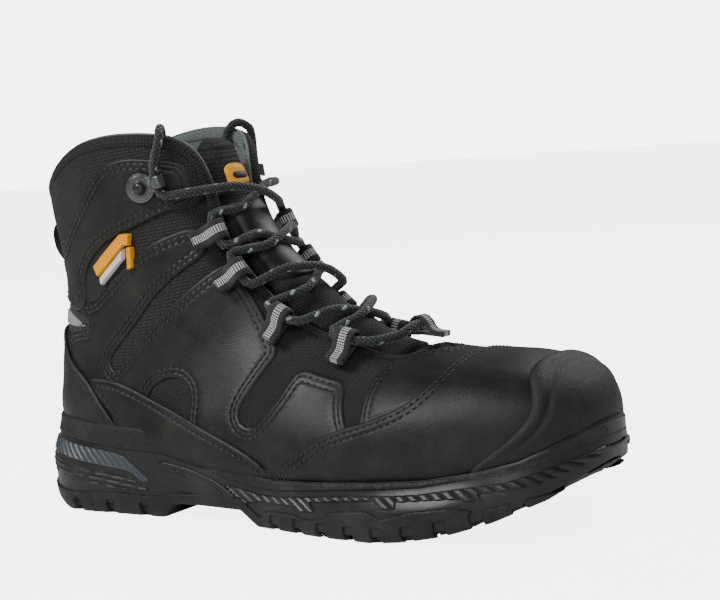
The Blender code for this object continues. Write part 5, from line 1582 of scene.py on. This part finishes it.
tacks = []
for side, sign in SIDES:
    for number, station in enumerate(LOOP_STATIONS, 1):
        first, second = loop_ends(station, sign)
        around = around_for(station, sign * LACE_LINE)
        axes = loop_frame(first, second, normals_at(station, around), np.array([0, sign, 0.0]))
        tacks.append(sew_loop(f"lace loop {side} {number}", f"lace_loop_{side}_{number}",
                              (first + second) / 2, axes, 13.0, 9.6))
first, second = (place(CENTRE_STATION, k * CENTRE_HALF, CENTRE_HEIGHT) for k in (-1, 1))
axes = loop_frame(first, second, normals_at(CENTRE_STATION, 0.0), np.array([1.0, 0, 0]))
tacks.append(sew_loop("lace loop centre", "lace_loop_centre", (first + second) / 2, axes, 13.0, 8.4))
sew("lace loop tacks", tacks, THREAD, lift=0.25)


# --- hooks, modelled flat on the ground and then set on the leather --------------------------------

HOOK_REACH = 14.5


def start_shape(add, **size):
    """Adds a primitive with nothing else selected, and opens it for editing."""
    bpy.ops.object.select_all(action="DESELECT")
    add(**size)
    return bpy.context.object


def choose(obj, keep):
    """Selects the faces that keep wants, by centre and normal."""
    bpy.ops.object.mode_set(mode="EDIT")
    bpy.ops.mesh.select_mode(type="FACE")
    bpy.ops.mesh.select_all(action="DESELECT")
    bpy.ops.object.mode_set(mode="OBJECT")
    for polygon in obj.data.polygons:
        polygon.select = keep(polygon.center, polygon.normal)
    bpy.ops.object.mode_set(mode="EDIT")


def round_edges(obj, width, segments=3, angle=35):
    """Rounds the sharp edges with an applied bevel."""
    bpy.ops.object.mode_set(mode="OBJECT")
    bevel = obj.modifiers.new("rounded", "BEVEL")
    bevel.width, bevel.segments, bevel.limit_method = width, segments, "ANGLE"
    bevel.angle_limit = math.radians(angle)
    bpy.ops.object.modifier_apply(modifier=bevel.name)


def set_down(obj, name, axes, centre, finish):
    """Puts a shape modelled in millimetres about zero into its place in the mesh."""
    bpy.ops.object.mode_set(mode="OBJECT")
    matrix = Matrix.Identity(4)
    for column, axis in enumerate(axes):
        matrix.col[column][:3] = Vector(axis) * MM
    matrix.translation = Vector((np.asarray(centre) - ORIGIN) * MM)
    obj.data.transform(matrix @ obj.matrix_world)
    obj.matrix_world = Matrix.Identity(4)
    bm = bmesh.new()
    bm.from_mesh(obj.data)
    bmesh.ops.recalc_face_normals(bm, faces=bm.faces)
    bm.to_mesh(obj.data)
    bm.free()
    obj.name = piece_name(name)
    obj.data.materials.clear()
    obj.data.materials.append(finish)
    return obj


def rivet_shape(radius, rise):
    """A domed rivet head with a stepped rim."""
    obj = start_shape(bpy.ops.mesh.primitive_cylinder_add, vertices=40, radius=radius, depth=0.9)
    choose(obj, lambda centre, normal: normal.z > 0.9)
    bpy.ops.mesh.inset(thickness=radius * 0.12)
    for step, lift in ((0.1, 0.35), (0.16, 0.35), (0.2, 0.25), (0.22, 0.16), (0.2, 0.06)):
        bpy.ops.mesh.extrude_region_move(TRANSFORM_OT_translate={"value": (0, 0, lift * rise)})
        bpy.ops.transform.resize(value=(1 - step, 1 - step, 1))
    round_edges(obj, 0.22)
    return obj


def hook_shape():
    """The open hook: a round plate, a neck, and a curl over the lace, bent from one strip."""
    turn = [math.radians(a) for a in range(270, 55, -14)]
    middle = EYE + 0.6
    line = [(HOOK_REACH, -middle), (11.5, -middle), (8.5, -middle), (5.5, -middle), (2.6, -middle)]
    line += [(math.cos(t) * middle, math.sin(t) * middle) for t in turn]
    widths = [2.2, 4.0, 4.6, 4.1, 3.3] + [3.0] * len(turn)
    widths[-3:] = [2.8, 2.3, 1.3]
    bpy.ops.object.select_all(action="DESELECT")
    mesh = bpy.data.meshes.new("hook")
    vertices = [(x, s * w, z) for (x, z), w in zip(line, widths) for s in (-1, -0.5, 0, 0.5, 1)]
    faces = [(i * 5 + j, i * 5 + j + 1, i * 5 + j + 6, i * 5 + j + 5)
             for i in range(len(line) - 1) for j in range(4)]
    mesh.from_pydata(vertices, [], faces)
    obj = bpy.data.objects.new("hook", mesh)
    bpy.context.scene.collection.objects.link(obj)
    bpy.context.view_layer.objects.active = obj
    obj.select_set(True)
    wall = obj.modifiers.new("plate", "SOLIDIFY")
    wall.thickness, wall.offset = 1.2, 0.0
    bpy.ops.object.modifier_apply(modifier=wall.name)
    round_edges(obj, 0.32, 3, 50)
    return obj


for side, sign in SIDES:
    first, second = hook_ends(sign)
    around = around_for(HOOK_STATION, sign * HOOK_Y)
    away = np.array([-1.0, sign * 0.3, 0])
    out, up, run = loop_frame(first, second, normals_at(HOOK_STATION, around), away)
    axes, centre = (out, run, up), (first + second) / 2
    hook = set_down(hook_shape(), f"lace hook {side}", axes, centre, BLACK_NICKEL)
    finish_piece(hook, [f"lace_hook_{side}"], smooth=45)
    foot = centre + out * (HOOK_REACH - 4.6) - up * EYE
    eyelet = start_shape(bpy.ops.mesh.primitive_cylinder_add, vertices=48, radius=7.0, depth=1.0)
    choose(eyelet, lambda middle, normal: normal.z > 0.9)
    bpy.ops.mesh.inset(thickness=1.1)
    bpy.ops.mesh.extrude_region_move(TRANSFORM_OT_translate={"value": (0, 0, 0.45)})
    bpy.ops.mesh.inset(thickness=1.0)
    round_edges(eyelet, 0.25)
    set_down(eyelet, f"hook plate {side}", axes, foot - up * 0.75, BLACK_NICKEL)
    finish_piece(eyelet, [], smooth=45)
    rivet = set_down(rivet_shape(3.5, 1.5), f"hook rivet {side}", axes, foot + up * 0.35, TIP_PLASTIC)
    finish_piece(rivet, [f"hook_rivet_{side}"], smooth=50)


# --- heel pull loop and side badges ----------------------------------------------------------------

PULL_PIVOT = np.array([8.8, 0.0, 121.0])
pull_line = [(-0.5, -2.0), (-0.35, 1.5), (-0.45, 8), (-1.5, 14.8), (-3.4, 18.9), (-5.6, 20.3), (-7.6, 18.6),
             (-8.6, 14.6), (-7.7, 9.0), (-5.6, 5.2), (-3.2, 2.6), (-1.9, 0.2), (-1.3, -2.0)]
pull = fine_spline(pull_line, 0.25)
pull_points = PULL_PIVOT + np.stack([pull[:, 0], pull[:, 0] * 0, pull[:, 1]], 1)
strap("heel pull loop", pull_points, [0, 1.0, 0], 13.6, 1.15, PLAIN_WEBBING, ["pull_loop"], "pull_loop")
stripe = pull_points[30:44] + np.array([-0.62, 0, 0])
strap("heel pull stripe", stripe, [0, 1.0, 0], 3.4, 0.3, BEADED_TAPE, [], "pull_loop")


BADGE_RIM, BADGE_RISE, BADGE_RIB_PITCH = 1.1, 0.45, 2.4
BADGE_BAR = [(57, 116.6), (75.5, 131.6), (78.4, 131.2), (79.4, 136.8), (73.8, 137.4), (54.5, 122)]
BADGE_PALE_BAR = [(58.5, 112.4), (74.2, 125.2), (74.8, 130.2), (58.2, 116.2)]
BADGE_TAIL = [(76.4, 119.5), (79.6, 120.8), (80, 130.6), (76.9, 130.8)]


def badge_relief(rows):
    """A raised rim round each bar and plain slanting ribs inside it."""
    at = (rows[:, 0] * 0.9 + rows[:, 2] * 0.45) / BADGE_RIB_PITCH
    slats = BADGE_RISE * (np.abs(at - np.round(at)) < 0.3)
    return np.where(rows[:, FIELD] < BADGE_RIM, BADGE_RISE, slats)


# The side badges are generic: a yellow bar with a tail over a pale bar, on a slope.
for side, sign in SIDES:
    badge_ground = last_grid(np.linspace(2.2, 4.8, 170), sign * np.linspace(0.3, 0.85, 220))
    for part, nodes, outline, finish, high in (
            ("", [f"badge_{side}"], BADGE_BAR, YELLOW, 2.9), ("bar ", [], BADGE_PALE_BAR, PALE_GREY, 2.8),
            ("tail ", [], BADGE_TAIL, YELLOW, 2.9)):
        raised_piece(f"side badge {part}{side}", nodes, badge_ground, side_view(badge_ground[0], outline, 0),
                     finish, "badge_rubber", low=0.4, high=high, radius=0.5, extra=(0.9, 1.3),
                     shape=badge_relief)


# --- what stays of the frame, under better finishes -------------------------------------------------

KEPT = {
    "footbed": FOOTBED_CLOTH, "padding": PAD_FOAM, "insole_board": BOARD, "steel_toe_cap": BARE_STEEL,
    "cap_edge_strip": SOLE_RUBBER, "heel_counter_board": BOARD, "shank": BARE_STEEL,
    "puncture_plate": BARE_STEEL, "hook_washer_lateral": BARE_STEEL, "hook_washer_medial": BARE_STEEL,
    "outsole": SOLE_RUBBER,
}
for name, finish in KEPT.items():
    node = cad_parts[name]
    node.data.materials.clear()
    node.data.materials.append(finish)


# --- floor, light and camera ------------------------------------------------------------------------

FLOOR = moulded_finish("pale floor", (0.84, 0.84, 0.84), (0.87, 0.87, 0.87), 0.6, stipple=300.0, bump=0.0,
                       dusty=0.0)
bpy.ops.object.select_all(action="DESELECT")
bpy.ops.mesh.primitive_plane_add(size=12)
floor = bpy.context.object
floor.name = "floor"
floor.data.materials.append(FLOOR)

ROOM_LIGHT, BACKDROP_LIGHT, FLOOR_GLOW = 0.17, 6.0, 4.6
floor_tree = FLOOR.node_tree
floor_shader = floor_tree.nodes["Principled BSDF"]
floor_shader.inputs["Emission Color"].default_value = (1, 1, 1, 1)
seen = floor_tree.nodes.new("ShaderNodeLightPath").outputs["Is Camera Ray"]
join(floor_tree, floor_shader.inputs["Emission Strength"], calc(floor_tree, "MULTIPLY", seen, FLOOR_GLOW))
world = bpy.data.worlds.new("studio")
world.use_nodes = True
sky = world.node_tree
room, backdrop = sky.nodes["Background"], sky.nodes.new("ShaderNodeBackground")
for shade, strength in ((room, ROOM_LIGHT), (backdrop, BACKDROP_LIGHT)):
    shade.inputs["Color"].default_value = (1, 1, 1, 1)
    shade.inputs["Strength"].default_value = strength
either = sky.nodes.new("ShaderNodeMixShader")
join(sky, either.inputs[0], sky.nodes.new("ShaderNodeLightPath").outputs["Is Camera Ray"])
join(sky, either.inputs[1], room.outputs[0])
join(sky, either.inputs[2], backdrop.outputs[0])
join(sky, sky.nodes["World Output"].inputs[0], either.outputs[0])
bpy.context.scene.world = world


def soft_light(name, place_at, aim, size, power):
    """A square studio light that looks at a point."""
    light = bpy.data.lights.new(name, "AREA")
    light.shape, light.size, light.size_y = "RECTANGLE", size[0], size[1]
    light.energy = power
    lamp = bpy.data.objects.new(name, light)
    lamp.location = place_at
    lamp.rotation_euler = (Vector(aim) - Vector(place_at)).to_track_quat("-Z", "Y").to_euler()
    bpy.context.scene.collection.objects.link(lamp)


soft_light("key", (-0.55, -1.0, 1.15), (0, 0, 0.08), (0.7, 0.5), 21)
soft_light("front", (0.75, -1.1, 0.75), (0.02, 0, 0.06), (0.5, 0.4), 8)
soft_light("back", (0.3, 1.2, 1.0), (0, 0, 0.1), (0.9, 0.5), 10)

# The view: from the outer front corner, a little above the ground, slightly rolled.
AIM = Vector((-0.002, 0.0016, 0.090))
AZIMUTH, ELEVATION, ROLL = (math.radians(angle) for angle in (35.65, 6.35, -4.81))
DISTANCE = 0.8
towards = Vector((math.sin(AZIMUTH) * math.cos(ELEVATION), -math.cos(AZIMUTH) * math.cos(ELEVATION),
                  math.sin(ELEVATION)))
camera_data = bpy.data.cameras.new("camera")
camera_data.sensor_width = 36.0
camera_data.lens = 84.3
camera_data.shift_x, camera_data.shift_y = 0.0786, 0.0275
camera = bpy.data.objects.new("camera", camera_data)
bpy.context.scene.collection.objects.link(camera)
turned = (-towards).to_track_quat("-Z", "Y").to_matrix().to_4x4()
camera.matrix_world = Matrix.Translation(AIM + towards * DISTANCE) @ turned @ Matrix.Rotation(ROLL, 4, "Z")
bpy.context.scene.camera = camera
